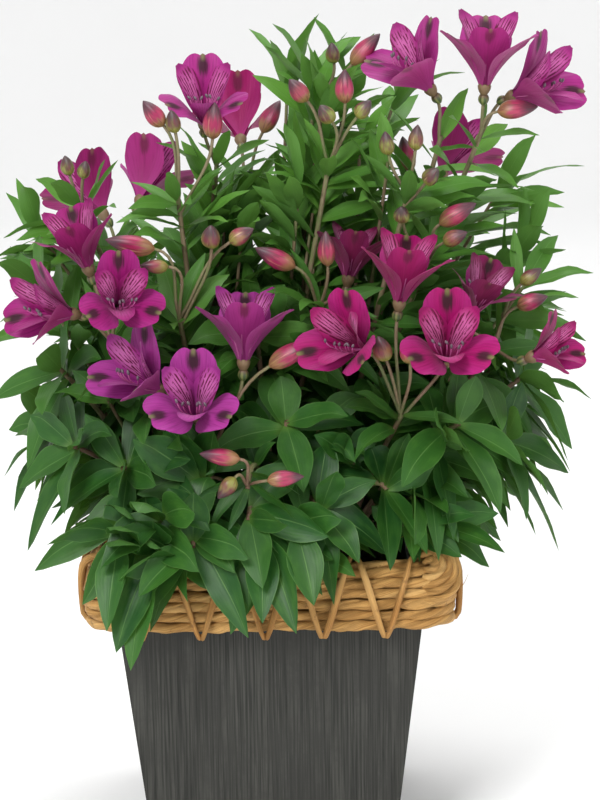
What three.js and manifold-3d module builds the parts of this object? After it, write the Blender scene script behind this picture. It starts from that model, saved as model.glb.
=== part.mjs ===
// A potted Peruvian lily in a tapered square wooden planter with a rope rim.
// Millimetres, +Z up, -Y towards the front. The origin is the middle of the planter's underside.
import * as THREE from "three";
import { mergeVertices } from "three/addons/utils/BufferGeometryUtils.js";
import Module from "manifold-3d";

const wasm = await Module();
wasm.setup();

// Planter
const BASE_HALF = 75.5; // half width of the planter at the ground
const FLARE = 0.113; // outward lean of each side, per mm of height
const BOARD_TOP = 188;
const BOARD_THICK = 9;
const FLOOR_THICK = 10;
const FLOOR_CORNER = 0.5;
const JOINT_GAP = 0.3; // clearance between neighbouring pieces
const LINER_WALL = 1.6;
const LINER_TOP = 183;
const LINER_CORNER = 12;
const SOIL_TOP = 171;

// Rope rim: [half width of the row's middle line, its height], from the lowest row over the shoulder
const ROPE_RADIUS = 3.1;
const ROPE_SIDES = 5;
const CORNER_TURNS = 3; // straight runs round each corner
const RIM_CORNER = 20; // plan radius of the rim's corners at ROWS[0]
const ROWS = [
  [109.4, 160.4], [110.2, 166.9], [110.6, 173.4], [110.4, 179.9],
  [109.2, 186.4], [105.2, 191.9], [99.0, 194.2], [92.6, 192.4],
];
const BAND = { outer: 105.2, low: 160, high: 188, innerCorner: 0.8 }; // the rope bundle's hidden strands
const LASHES = [-78, -42, -3, 32, 70]; // where the lashing passes under the rim, along each side
const LASH_SPREAD = 17; // how far to each side of that it passes over
const LASH_RADIUS = 1.4;
// [half width, height] of the lashing's bends, from over the rim to under it
const LASH_BENDS = [[100, 199.8], [114.2, 192.5], [116, 158.5], [109, 154]];

// Plants
const ROOT_DEPTH = 0.9; // how far past its stem's middle a leaf starts
const STUB_RADIUS = 4.2; // where a clump's stems join, at the soil
const STUB_DEPTH = 16;
const STEM_RADII = [2.7, 2.5, 2.3, 2.1, 1.9]; // corner radii from the soil to the tip
const STEM_SIDES = 3;
const BUD_SIDES = 4;
const STALK_RADIUS = 1.3; // a flower's or a bud's own stalk
const POD_RADIUS = 2.9; // seed pod under a bloom
const POD_LENGTH = 5;
const KEEL = 1.2; // thickness of a leaf at its midrib
const LONG_LEAF = 48;
// Where a blade has a cross-section, as shares of its length
const LONG_STATIONS = [0.28, 0.64];
const SHORT_STATIONS = [0.4];
const OUTER_STATIONS = [0.45, 0.74, 0.93]; // outer petals, with a broad notched end
const INNER_STATIONS = [0.66];
const SWING = 0.28; // turn of a leaf round its stem, in radians, where its first place is taken
const CLEARANCE = 4.4; // least distance between the sample points of two nodes
const OWN_CLEARANCE = 3.5; // and of two leaves of one node
const RIM_ROOM = { low: 150, high: 201, inner: 77, outer: 119 }; // the rim, which no leaf may enter
const SOIL_ROOM = 5; // least height of a leaf over the soil
const SLIVER = 0.01;
const GOLDEN_ANGLE = THREE.MathUtils.degToRad(137.5);

const COLOURS = {
  board: [0x3a3b3a, 0.75], liner: [0x151515, 0.5], soil: [0x2b2018, 0.95], rope: [0xc08f4f, 0.8],
  lash: [0xb17c3c, 0.7], leaf: [0x2f6b22, 0.5], lilac: [0x9b2f93, 0.5], magenta: [0xa3145c, 0.5],
};

// Leaf rules: numbers in pairs run from the first leaf to the last
const RULES = {
  // narrow leaves up a flowering stem, and the whorl under its flowers
  stem: {
    spread: [76, 50], length: [60, 54], width: [7.2, 6.2], droop: [0.3, 0.16], widest: 0.44, lean: 0.2,
  },
  whorl: {
    spread: [70, 42], length: [48, 40], width: [5.8, 4.8], droop: [0.14, 0.05], widest: 0.42, lean: 0.2,
  },
  // broad leaves of a leafy shoot, older ones first, and its closing tuft
  shoot: {
    spread: [95, 80], length: [50, 50], width: [9.6, 9.8], droop: [0.3, 0.24], widest: 0.5, lean: 0.75,
  },
  rosette: {
    spread: [88, 48], length: [50, 38], width: [10.2, 8.4], droop: [0.26, 0.1], widest: 0.52, lean: 0.8,
  },
};

// Clumps of stems that share a root. A stem is [tip, lift of its arch, leaf plan, heads].
// A leaf plan is [rule on the stem, count, rule at the tip, count, size].
// A head is ["bloom", base, facing, size, colour] or ["bud", base, direction, length, radius].
const SHOOT = ["shoot", 2, "rosette", 8, 1.1];
const BACK_SHOOT = ["shoot", 1, "rosette", 7, 1.15];
const LEAFY = ["stem", 5, "whorl", 6, 1];
const BACK_LEAFY = ["stem", 4, "whorl", 4, 1.1];
const CLUMPS = [
  { name: "clump_front_left", foot: [-46, -48], stems: [
    [[-45, -126, 216], 40, SHOOT, []],
    [[-38, -84, 258], 10, ["shoot", 3, "whorl", 2, 1], [
      ["bloom", [-42, -93, 286], [-0.05, -0.8, 0.6], 50, "lilac"],
      ["bloom", [-62, -84, 300], [-0.6, -0.5, 0.62], 48, "lilac"],
      ["bloom", [-14, -78, 312], [0.04, -0.02, 1], 52, "lilac"],
      ["bud", [2, -92, 318], [0.85, -0.1, 0.5], 32, 6.6],
    ]],
    [[-88, -92, 256], 20, SHOOT, []],
    [[-120, -74, 266], 16, SHOOT, []],
  ] },
  { name: "clump_front", foot: [0, -58], stems: [
    [[-12, -120, 230], 40, SHOOT, []],
    [[-12, -122, 250], 50, ["stem", 0, "whorl", 2, 0.7], [
      ["bud", [-16, -134, 272], [-0.95, 0, 0.15], 24, 5.4],
      ["bud", [-19, -135, 261], [-0.6, -0.1, -0.7], 16, 5.2],
      ["bud", [0, -132, 258], [0.95, 0, 0.1], 22, 5.2],
    ]],
    [[32, -112, 232], 36, ["shoot", 1, "rosette", 7, 1], []],
    [[12, -84, 282], 10, ["shoot", 1, "rosette", 7, 1.1], []],
  ] },
  { name: "clump_front_right", foot: [44, -50], stems: [
    [[82, -78, 284], 6, ["shoot", 3, "whorl", 3, 1], [
      ["bloom", [61, -84, 325], [-0.5, -0.74, 0.42], 48, "magenta"],
      ["bloom", [80, -68, 345], [0.15, -0.1, 1], 50, "magenta"],
      ["bloom", [108, -80, 316], [0.02, -0.8, 0.6], 52, "magenta"],
      ["bud", [72, -98, 322], [-0.3, -0.2, 0.9], 17, 6.2],
      ["bud", [86, -98, 320], [-0.1, -0.2, 0.95], 18, 5.6],
    ]],
    [[72, -100, 242], 30, ["shoot", 1, "rosette", 8, 1], []],
    [[116, -88, 280], 14, SHOOT, []],
  ] },
  { name: "clump_left", foot: [-66, -8], stems: [
    [[-96, -58, 332], 6, ["shoot", 3, "whorl", 2, 1], [
      ["bloom", [-106, -50, 366], [-0.3, -0.2, 0.93], 46, "magenta"],
      ["bloom", [-112, -70, 346], [-0.8, -0.5, 0.3], 46, "magenta"],
      ["bloom", [-90, -72, 350], [0.15, -0.86, 0.45], 45, "magenta"],
    ]],
    [[-128, -40, 306], 14, SHOOT, []],
    [[-84, -46, 296], 6, ["shoot", 1, "rosette", 8, 1.1], []],
    [[-134, -4, 262], 20, ["shoot", 1, "rosette", 8, 1.1], []],
  ] },
  { name: "clump_middle_left", foot: [-34, -6], stems: [
    [[-53, -56, 342], 4, ["stem", 4, "whorl", 5, 1.1], [
      ["bud", [-66, -74, 387], [-0.95, -0.1, 0.22], 30, 6.6],
      ["bud", [-58, -74, 376], [-0.9, -0.2, 0.1], 17, 4.6],
      ["bud", [-32, -66, 386], [0, -0.4, 0.9], 16, 6.2],
      ["bud", [-21, -62, 388], [0.85, -0.1, 0.5], 17, 5.6],
    ]],
    [[-53, -28, 410], 2, LEAFY, [
      ["bud", [-60, -40, 456], [-0.6, -0.1, 0.78], 20, 6.0],
      ["bud", [-53, -42, 452], [-0.15, -0.2, 0.95], 15, 5.0],
      ["bud", [-31, -30, 446], [0.08, -0.1, 1], 23, 6.6],
    ]],
  ] },
  { name: "clump_middle", foot: [2, -10], stems: [
    [[34, -42, 346], 4, ["shoot", 3, "whorl", 4, 1], [
      ["bloom", [50, -27, 352], [0.15, 0.1, 1], 40, "magenta"],
      ["bud", [18, -60, 372], [-0.85, -0.1, 0.45], 27, 6.4],
      ["bud", [38, -58, 372], [-0.05, -0.1, 1], 22, 5.8],
    ]],
    [[40, -18, 430], 2, LEAFY, [
      ["bud", [27, -27, 468], [-0.6, -0.2, 0.78], 18, 6.0],
      ["bud", [50, -25, 466], [0, 0, 1], 21, 6.2],
      ["bud", [42, -34, 456], [-0.5, -0.3, 0.75], 14, 5.6],
      ["bud", [57, -30, 458], [0.6, -0.2, 0.75], 14, 5.2],
    ]],
    [[-6, -46, 332], 4, ["shoot", 2, "rosette", 7, 1.15], []],
  ] },
  { name: "clump_middle_right", foot: [40, 0], stems: [
    [[88, -30, 412], 2, LEAFY, [
      ["bud", [76, -38, 436], [-0.15, -0.1, 1], 15, 5.0],
      ["bud", [92, -40, 439], [0.1, -0.1, 1], 16, 5.0],
      ["bud", [98, -46, 420], [0.5, -0.5, 0.7], 14, 5.4],
    ]],
    [[103, -24, 374], 4, ["stem", 4, "whorl", 4, 1], [
      ["bud", [107, -34, 392], [0.83, -0.1, 0.5], 26, 6.4],
      ["bud", [109, -42, 382], [0.75, -0.3, 0.4], 17, 5.4],
      ["bud", [84, -44, 396], [-0.1, -0.5, 0.85], 12, 5.4],
    ]],
  ] },
  { name: "clump_right", foot: [68, -22], stems: [
    [[142, -36, 318], 6, ["shoot", 3, "whorl", 3, 1.1], [
      ["bloom", [124, -52, 336], [0.35, -0.3, 0.88], 40, "magenta"],
      ["bloom", [158, -58, 312], [0.8, -0.4, 0.42], 36, "magenta"],
      ["bud", [154, -44, 342], [0.88, -0.2, 0.35], 20, 5.6],
      ["bud", [157, -34, 354], [0.75, -0.1, 0.6], 16, 4.8],
    ]],
    [[148, -58, 262], 20, SHOOT, []],
    [[162, -12, 292], 12, SHOOT, []],
  ] },
  { name: "clump_back_left", foot: [-48, 42], stems: [
    [[-116, -6, 404], 2, ["stem", 6, "whorl", 7, 1.15], [
      ["bud", [-120, -12, 422], [-0.2, -0.2, 1], 13, 4.6],
      ["bud", [-112, -12, 420], [0.2, -0.3, 0.95], 12, 4.4],
    ]],
    [[-30, 18, 424], 2, BACK_LEAFY, [
      ["bloom", [-37, 6, 446], [0.02, -0.62, 0.78], 48, "lilac"],
    ]],
    [[-96, 70, 352], 4, BACK_LEAFY, [
      ["bloom", [-104, 82, 376], [-0.5, 0.62, 0.6], 48, "magenta"],
      ["bloom", [-84, 86, 384], [0.3, 0.7, 0.65], 48, "lilac"],
    ]],
    [[-126, 50, 284], 16, BACK_SHOOT, []],
  ] },
  { name: "clump_back", foot: [2, 46], stems: [
    [[36, 22, 466], 0, ["stem", 6, "whorl", 6, 1.2], [
      ["bud", [55, 16, 484], [0.7, 0, 0.75], 26, 6.2],
      ["bud", [44, 10, 486], [-0.1, -0.3, 0.95], 14, 4.8],
    ]],
    [[-14, 92, 396], 2, BACK_LEAFY, [
      ["bloom", [-16, 106, 420], [-0.1, 0.8, 0.6], 50, "magenta"],
      ["bud", [-2, 94, 430], [0.5, 0.2, 0.85], 24, 6.2],
    ]],
    [[6, 118, 252], 30, BACK_SHOOT, []],
    [[-62, 112, 268], 24, BACK_SHOOT, []],
  ] },
  { name: "clump_back_right", foot: [50, 40], stems: [
    [[136, 4, 446], 0, ["stem", 5, "whorl", 5, 1.1], [
      ["bloom", [136, 0, 466], [0.06, -0.14, 1], 53, "lilac"],
      ["bloom", [150, 10, 462], [0.8, -0.42, 0.44], 50, "lilac"],
      ["bud", [144, -8, 457], [0.95, -0.1, 0.12], 25, 6.4],
    ]],
    [[110, 8, 440], 0, BACK_LEAFY, [
      ["bloom", [106, 3, 466], [-0.54, -0.3, 0.78], 49, "lilac"],
    ]],
    [[100, 78, 376], 2, BACK_LEAFY, [
      ["bloom", [112, 90, 398], [0.5, 0.62, 0.6], 48, "magenta"],
      ["bud", [94, 90, 404], [-0.2, 0.4, 0.9], 24, 6.2],
    ]],
    [[150, 56, 322], 8, BACK_SHOOT, []],
    [[80, 110, 270], 24, BACK_SHOOT, []],
  ] },
];

// Small tools

const vec = (p) => new THREE.Vector3(p[0], p[1], p[2]);
const UP = vec([0, 0, 1]);
const mix = (pair, share) => pair[0] + (pair[1] - pair[0]) * share;

// The same repeatable draw from 0 to 1 for the same seed.
function draws(seed) {
  let a = seed >>> 0;
  return () => {
    a = (a + 0x6d2b79f5) >>> 0;
    let t = Math.imul(a ^ (a >>> 15), a | 1);
    t ^= t + Math.imul(t ^ (t >>> 7), t | 61);
    return ((t ^ (t >>> 14)) >>> 0) / 4294967296;
  };
}

function bezier(points, t) {
  const [a, b, c, d] = points;
  const s = 1 - t;
  return a.clone().multiplyScalar(s * s * s)
    .addScaledVector(b, 3 * s * s * t)
    .addScaledVector(c, 3 * s * t * t)
    .addScaledVector(d, t * t * t);
}

function bezierTangent(points, t) {
  const [a, b, c, d] = points;
  const s = 1 - t;
  return b.clone().sub(a).multiplyScalar(s * s)
    .addScaledVector(c.clone().sub(b), 2 * s * t)
    .addScaledVector(d.clone().sub(c), t * t)
    .normalize();
}

// Two directions square to an axis and to each other.
function crossways(axis) {
  const aside = Math.abs(axis.y) < 0.9 ? vec([0, 1, 0]) : vec([1, 0, 0]);
  const e1 = axis.clone().cross(aside).normalize();
  return [e1, axis.clone().cross(e1)];
}

// The one body that closed pieces make together, without the finest slivers where they cross.
function fused(pieces) {
  return wasm.Manifold.union(pieces.map(solid)).simplify(SLIVER);
}

// A closed body through rings of equally many points. An end of one point is a tip,
// and `loop` joins the last ring to the first.
function skin(rings, loop = false) {
  const at = [];
  const faces = [];
  const start = rings.map((ring) => {
    const first = at.length / 3;
    ring.forEach((p) => at.push(p.x, p.y, p.z));
    return first;
  });
  const n = Math.max(...rings.map((ring) => ring.length));
  const pairs = loop ? rings.length : rings.length - 1;
  for (let i = 0; i < pairs; i += 1) {
    const j = (i + 1) % rings.length;
    for (let k = 0; k < n; k += 1) {
      const next = (k + 1) % n;
      const a = start[i] + (rings[i].length > 1 ? k : 0);
      const b = start[i] + (rings[i].length > 1 ? next : 0);
      const c = start[j] + (rings[j].length > 1 ? k : 0);
      const d = start[j] + (rings[j].length > 1 ? next : 0);
      if (a !== b) faces.push(a, b, d);
      if (c !== d) faces.push(a, d, c);
    }
  }
  if (!loop) {
    for (let k = 1; k + 1 < rings[0].length; k += 1) faces.push(start[0], start[0] + k + 1, start[0] + k);
    const last = start[rings.length - 1];
    for (let k = 1; k + 1 < rings.at(-1).length; k += 1) faces.push(last, last + k, last + k + 1);
  }
  const geometry = new THREE.BufferGeometry();
  geometry.setAttribute("position", new THREE.Float32BufferAttribute(at, 3));
  geometry.setIndex(faces);
  return geometry;
}

// A round body from [centre, axis, radius] rings, without twist. A radius of 0 is a tip.
function turned(rings, sides) {
  let [e1] = crossways(rings[0][1]);
  return skin(rings.map(([centre, axis, radius]) => {
    e1 = e1.clone().addScaledVector(axis, -e1.dot(axis)).normalize();
    const e2 = axis.clone().cross(e1);
    return Array.from({ length: radius ? sides : 1 }, (_, k) => {
      const a = (2 * Math.PI * k) / sides;
      return centre.clone()
        .addScaledVector(e1, radius * Math.cos(a))
        .addScaledVector(e2, radius * Math.sin(a));
    });
  }));
}

// A stem, with its radii spread evenly along it.
function stem(points) {
  return turned(STEM_RADII.map((radius, i) => {
    const t = i / (STEM_RADII.length - 1);
    return [bezier(points, t), bezierTangent(points, t), radius];
  }), STEM_SIDES);
}

// The middle of the faceted stem at t: a straight run between two of its rings.
function stemMiddle(points, t) {
  const runs = STEM_RADII.length - 1;
  const i = Math.min(Math.floor(t * runs), runs - 1);
  return bezier(points, i / runs).lerp(bezier(points, (i + 1) / runs), t * runs - i);
}

// The rings of the thin part of a head's own stalk, as far as its middle.
function stalkRings(points) {
  const middle = bezier(points, 0.5);
  const lead = middle.clone().sub(points[0]).normalize();
  return [[points[0], lead, STALK_RADIUS], [middle, lead, STALK_RADIUS]];
}

function solid(geometry) {
  const bare = geometry.clone();
  bare.deleteAttribute("normal");
  bare.deleteAttribute("uv");
  const merged = mergeVertices(bare, 1e-4);
  return new wasm.Manifold(new wasm.Mesh({
    numProp: 3,
    vertProperties: new Float32Array(merged.attributes.position.array),
    triVerts: new Uint32Array(merged.index.array),
  }));
}

function geometryOf(made) {
  const mesh = made.getMesh();
  const geometry = new THREE.BufferGeometry();
  geometry.setAttribute("position", new THREE.BufferAttribute(mesh.vertProperties, 3));
  geometry.setIndex(new THREE.BufferAttribute(mesh.triVerts, 1));
  return geometry;
}

const part = new THREE.Group();

function add(name, colour, geometry) {
  const [color, roughness] = COLOURS[colour];
  const mesh = new THREE.Mesh(geometry, new THREE.MeshStandardMaterial({ color, roughness, metalness: 0 }));
  mesh.name = name;
  part.add(mesh);
}

// Planter

const sideAt = (z) => BASE_HALF + FLARE * z;

// A square ring with cut corners, at one height.
function squareRing(half, corner, z) {
  const c = half - corner;
  return [
    [-c, -half], [c, -half], [half, -c], [half, c], [c, half], [-c, half], [-half, c], [-half, -c],
  ].map(([x, y]) => vec([x, y, z]));
}

// One side board, mitred to its neighbours, for the front. The others are turned copies.
function board() {
  const section = (z) => {
    const outer = sideAt(z);
    const inner = outer - BOARD_THICK;
    const g = JOINT_GAP / 2;
    return [[-outer + g, -outer], [outer - g, -outer], [inner - g, -inner], [-inner + g, -inner]]
      .map(([x, y]) => vec([x, y, z]));
  };
  return skin([section(0), section(BOARD_TOP)]);
}

function planter() {
  ["front", "right", "back", "left"].forEach((side, i) => {
    add(`board_${side}`, "board", board().rotateZ((i * Math.PI) / 2));
  });
  const inside = (z) => sideAt(z) - BOARD_THICK - JOINT_GAP;
  const floorRing = (z) => squareRing(inside(z), FLOOR_CORNER, z);
  add("floor_board", "board", skin([floorRing(0), floorRing(FLOOR_THICK)]));
  const bottom = FLOOR_THICK + JOINT_GAP;
  const inner = (z) => squareRing(inside(z) - LINER_WALL, LINER_CORNER, z);
  add("liner", "liner", skin([
    squareRing(inside(bottom), LINER_CORNER, bottom),
    squareRing(inside(LINER_TOP), LINER_CORNER, LINER_TOP),
    inner(LINER_TOP),
    inner(bottom + LINER_WALL),
  ]));
}

// Soil, sloping down at the liner, with a plain hole for each clump.
function soil() {
  const low = FLOOR_THICK + 2 * JOINT_GAP + LINER_WALL;
  const inside = (z) => sideAt(z) - BOARD_THICK - LINER_WALL - 2 * JOINT_GAP;
  const ring = (share, z) => squareRing(inside(SOIL_TOP) * share, LINER_CORNER * share, z);
  let body = solid(skin([
    squareRing(inside(low), LINER_CORNER, low),
    squareRing(inside(SOIL_TOP - 4), LINER_CORNER, SOIL_TOP - 4),
    ring(0.9, SOIL_TOP),
  ]));
  for (const { foot } of CLUMPS) {
    const hole = new THREE.CylinderGeometry(STUB_RADIUS + 0.5, STUB_RADIUS + 0.5, 60, 6);
    hole.rotateX(Math.PI / 2).translate(foot[0], foot[1], SOIL_TOP - STUB_DEPTH - JOINT_GAP + 30);
    body = body.subtract(solid(hole));
  }
  add("soil", "soil", geometryOf(body));
}

// Rope rim

// Points of a square with round corners, `turns` to a corner.
function roundSquare(half, z, turns, radius = RIM_CORNER + half - ROWS[0][0]) {
  const centre = half - radius;
  const points = [];
  for (let side = 0; side < 4; side += 1) {
    for (let k = 0; k <= turns; k += 1) {
      const a = ((side + k / turns) * Math.PI) / 2 - Math.PI / 2;
      const [cx, cy] = [[1, -1], [1, 1], [-1, 1], [-1, -1]][side];
      points.push(vec([centre * cx + radius * Math.cos(a), centre * cy + radius * Math.sin(a), z]));
    }
  }
  return points;
}

// A closed loop of round rope through points in one level.
function ropeLoop(half, z, radius, turns, sides) {
  const middle = roundSquare(half, z, turns);
  const out = roundSquare(half + 1, z, turns);
  return skin(middle.map((p, i) => {
    const away = out[i].clone().sub(p).normalize();
    return Array.from({ length: sides }, (_, k) => {
      const a = (2 * Math.PI * (k + 0.5)) / sides;
      return p.clone().addScaledVector(away, radius * Math.cos(a)).addScaledVector(UP, -radius * Math.sin(a));
    });
  }), true);
}

// The bundle's hidden inner strands, as one band between the boards and the outer rows.
function innerBand() {
  const inside = (z) => roundSquare(sideAt(z) + 2 * JOINT_GAP, z, CORNER_TURNS, BAND.innerCorner);
  const outside = (z) => roundSquare(BAND.outer, z, CORNER_TURNS);
  const rings = [inside(BAND.low), outside(BAND.low), outside(BAND.high), inside(BAND.high)];
  return skin(rings[0].map((_, i) => rings.map((ring) => ring[i])).reverse(), true);
}

// One thin strand that zigzags over the rope rows all the way round.
function lashing() {
  const path = [];
  for (let side = 0; side < 4; side += 1) {
    for (const middle of LASHES) {
      const bends = LASH_BENDS.map(([half, z], k) => [LASH_SPREAD * (1 - k / 3), half, z]);
      const down = bends.map(([away, half, z]) => [middle - away, half, z]);
      const up = bends.slice(0, -1).reverse().map(([away, half, z]) => [middle + away, half, z]);
      for (const [along, half, z] of [...down, ...up]) {
        path.push(vec([along, -half, z]).applyAxisAngle(UP, (side * Math.PI) / 2));
      }
    }
  }
  const rings = path.map((p, i) => {
    const before = path[(i + path.length - 1) % path.length];
    const after = path[(i + 1) % path.length];
    const axis = after.clone().sub(before).normalize();
    const away = vec([p.x, p.y, 0]).normalize().addScaledVector(UP, p.z > 180 ? 1 : -0.6);
    const e1 = away.addScaledVector(axis, -away.dot(axis)).normalize();
    const e2 = axis.clone().cross(e1);
    return [0, 1, 2].map((k) => p.clone()
      .addScaledVector(e1, LASH_RADIUS * Math.cos((k * 2 * Math.PI) / 3))
      .addScaledVector(e2, LASH_RADIUS * Math.sin((k * 2 * Math.PI) / 3)));
  });
  return skin(rings, true);
}

function rim() {
  ROWS.forEach(([half, z], i) => {
    add(`rope_row_${i + 1}`, "rope", ropeLoop(half, z, ROPE_RADIUS, CORNER_TURNS, ROPE_SIDES));
  });
  add("rope_inner_band", "rope", innerBand());
  add("lashing", "lash", lashing());
}

// Blades: leaves and petals

// A blade's half width at u, 0 at its root and 1 at its tip.
function halfWidth(b, u) {
  const rise = Math.pow(Math.sin((Math.PI / 2) * Math.min(1, u / b.widest)), b.rise);
  const fall = Math.pow(Math.cos((Math.PI / 2) * Math.max(0, (u - b.widest) / (1 - b.widest))), b.fall);
  return b.stalk + (b.width - b.stalk) * Math.min(rise, fall);
}

// The blade's middle line and its frame at u: `dir` and `bow` set its sweep, `face` its upper side.
function bladeFrame(b, u) {
  const middle = b.root.clone()
    .addScaledVector(b.dir, b.length * u)
    .addScaledVector(b.bow, b.length * u * u);
  const along = b.dir.clone().addScaledVector(b.bow, 2 * u).normalize();
  const side = b.dir.clone().cross(b.face).normalize().applyAxisAngle(b.dir, b.roll);
  return { middle, side, over: side.clone().cross(along).normalize() };
}

function bladePoint(b, u, v) {
  const { middle, side, over } = bladeFrame(b, u);
  const half = halfWidth(b, u);
  return middle.addScaledVector(side, v * half).addScaledVector(over, b.fold * Math.abs(v) * half);
}

// A closed blade with a keel under its midrib, through the given places between its two ends.
function bladeSkin(b, stations) {
  const rings = stations.map((u) => [
    bladePoint(b, u, 1),
    bladePoint(b, u, 0).addScaledVector(bladeFrame(b, u).over, -b.keel),
    bladePoint(b, u, -1),
  ]);
  return skin([[b.root], ...rings, [bladePoint(b, 1, 0)]]);
}

// Room: sample points of what is placed, with the node and the radius of each

const placed = [];

function samplesOfBlade(b) {
  const samples = [];
  for (let i = 2; i <= 10; i += 1) {
    for (const v of [-0.9, -0.45, 0, 0.45, 0.9]) samples.push({ at: bladePoint(b, i / 10, v), radius: 0 });
  }
  return samples;
}

function samplesOfStalk(points, radius) {
  const length = points[0].distanceTo(points[3]);
  const count = Math.ceil(length / 4);
  return Array.from({ length: count }, (_, i) => ({ at: bezier(points, (i + 1) / count), radius }));
}

// Whether samples keep clear of the planter, and of every placed sample of another owner.
function isClear(samples, owner) {
  for (const { at } of samples) {
    const reach = Math.max(Math.abs(at.x), Math.abs(at.y));
    const besideRim = reach > RIM_ROOM.inner && reach < RIM_ROOM.outer;
    if (besideRim && at.z > RIM_ROOM.low && at.z < RIM_ROOM.high) return false;
    if (at.z < SOIL_TOP + SOIL_ROOM && reach < RIM_ROOM.outer) return false;
  }
  const box = new THREE.Box3().setFromPoints(samples.map(({ at }) => at)).expandByScalar(12);
  for (const old of placed) {
    if (old.owner === owner.stem || !box.containsPoint(old.at)) continue;
    const same = old.node === owner.node;
    const least = (same ? OWN_CLEARANCE : CLEARANCE) + old.radius;
    for (const { at, radius } of samples) {
      if (at.distanceTo(old.at) < least + radius) return false;
    }
  }
  return true;
}

function claim(samples, owner) {
  for (const s of samples) placed.push({ ...s, owner: owner.stem, node: owner.node });
}

// Leaves

// The way a leaf's upper side turns: along its stem, and out from the middle of the plant and up.
function facingAt(points, t, lean) {
  const at = bezier(points, t);
  const out = at.setZ(0).normalize().multiplyScalar(0.8).add(UP.clone().multiplyScalar(0.6));
  return bezierTangent(points, t).lerp(out, lean).normalize();
}

// Leaves along a stem from `from` to `to`, a golden angle apart, each turned until it is clear.
function leaves(points, rule, count, size, from, to, seed, owner) {
  const made = [];
  for (let i = 0; i < count; i += 1) {
    const share = count > 1 ? i / (count - 1) : 1;
    const draw = draws(seed * 977 + i * 131);
    const t = mix([from, to], share);
    const axis = facingAt(points, t, rule.lean);
    const [e1, e2] = crossways(axis);
    const length = mix(rule.length, share) * size * (0.88 + 0.24 * draw());
    const width = mix(rule.width, share) * size * (0.9 + 0.2 * draw());
    const spread = mix(rule.spread, share) + 16 * (draw() - 0.5);
    const droop = mix(rule.droop, share) * (0.6 + 0.8 * draw());
    const roll = 0.5 * (draw() - 0.5);
    const turn = seed * 1.7 + i * GOLDEN_ANGLE + 0.4 * (draw() - 0.5);
    for (let attempt = 0; attempt < 9; attempt += 1) {
      const swing = Math.ceil(attempt / 2) * (attempt % 2 ? SWING : -SWING);
      const open = THREE.MathUtils.degToRad(spread - 5 * Math.floor(attempt / 3));
      const dir = axis.clone().multiplyScalar(Math.cos(open))
        .addScaledVector(e1, Math.sin(open) * Math.cos(turn + swing))
        .addScaledVector(e2, Math.sin(open) * Math.sin(turn + swing));
      const root = stemMiddle(points, t).addScaledVector(dir, -ROOT_DEPTH);
      const leaf = {
        root, dir, bow: vec([0, 0, -droop]), face: axis, length, width, roll,
        widest: rule.widest, rise: 1, fall: 0.8, stalk: 0.7, fold: 0.16, keel: KEEL,
      };
      const samples = samplesOfBlade(leaf);
      if (isClear(samples, owner)) {
        claim(samples, { stem: `${owner.stem}_${from}_${i}`, node: owner.node });
        made.push(leaf);
        break;
      }
    }
  }
  return made;
}

// Flowers

// A flower's six petals: three broad outer ones, and three inner ones, of which two stand up.
function petals(base, facing, size) {
  const axis = facing.clone().normalize();
  const back = Math.abs(axis.z) > 0.85 ? vec([0, 1, 0]) : UP;
  const high = back.clone().addScaledVector(axis, -axis.dot(back)).normalize();
  const left = high.clone().cross(axis);
  const petal = (degrees, length, width, flare, depth, shape) => {
    const a = THREE.MathUtils.degToRad(degrees);
    const out = high.clone().multiplyScalar(Math.cos(a)).addScaledVector(left, Math.sin(a));
    return {
      root: base.clone().addScaledVector(axis, 3).addScaledVector(out, depth),
      dir: axis.clone().multiplyScalar(0.97).addScaledVector(out, 0.13),
      bow: out.clone().multiplyScalar(flare).addScaledVector(axis, -0.42 * flare),
      face: axis, length: size * length, width: size * width, roll: 0, stalk: 1.4, keel: 1.6, ...shape,
    };
  };
  const outer = { widest: 0.74, rise: 2.4, fall: 0.5, fold: -0.1 };
  const inner = { widest: 0.7, rise: 2.2, fall: 0.7, fold: 0.1 };
  return {
    outer: [0, 122, -122].map((a) => petal(a, 0.98, 0.25, 0.44, 2.4, outer)),
    inner: [52, -52, 180].map((a) => petal(a, 1.0, 0.13, 0.24, 1.8, inner)),
  };
}

function bloom(base, facing, size) {
  const axis = facing.clone().normalize();
  const { outer, inner } = petals(base, facing, size);
  const ring = (height, radius) => [base.clone().addScaledVector(axis, height), axis, radius];
  const cup = turned([ring(JOINT_GAP, POD_RADIUS * 0.8), ring(5, 5.2), ring(13, 0)], 5);
  return fused([
    cup,
    ...outer.map((b) => bladeSkin(b, OUTER_STATIONS)),
    ...inner.map((b) => bladeSkin(b, INNER_STATIONS)),
  ]);
}

// A bloom's stalk, thickened to its seed pod under the petals.
function bloomStalk({ stalkLine, base, facing }) {
  const pod = [base.clone().addScaledVector(facing, -POD_LENGTH), facing, POD_RADIUS];
  return turned([...stalkRings(stalkLine), pod, [base, facing, POD_RADIUS]], STEM_SIDES);
}

// A bud on its own stalk, plump low down and drawn out to its tip.
function bud({ stalkLine, base, facing, length, radius }) {
  const along = (share) => base.clone().addScaledVector(facing, length * share);
  return turned([
    ...stalkRings(stalkLine),
    [base, facing, STALK_RADIUS * 1.5],
    [along(0.34), facing, radius],
    [along(0.7), facing, radius * 0.84],
    [along(1), facing, 0],
  ], BUD_SIDES);
}

// The curve of a stem from its clump's foot to its tip.
function stemCurve(foot, tip, lift) {
  const end = vec(tip);
  const start = vec([foot[0], foot[1], SOIL_TOP + 2]);
  start.add(end.clone().sub(start).setZ(0).setLength(2));
  const rise = end.z - start.z;
  const first = start.clone().lerp(end, 0.12).setZ(start.z + rise * 0.4 + lift * 0.8);
  const second = start.clone().lerp(end, 0.68).setZ(start.z + rise * 0.72 + lift);
  return [start, first, second, end];
}

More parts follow.
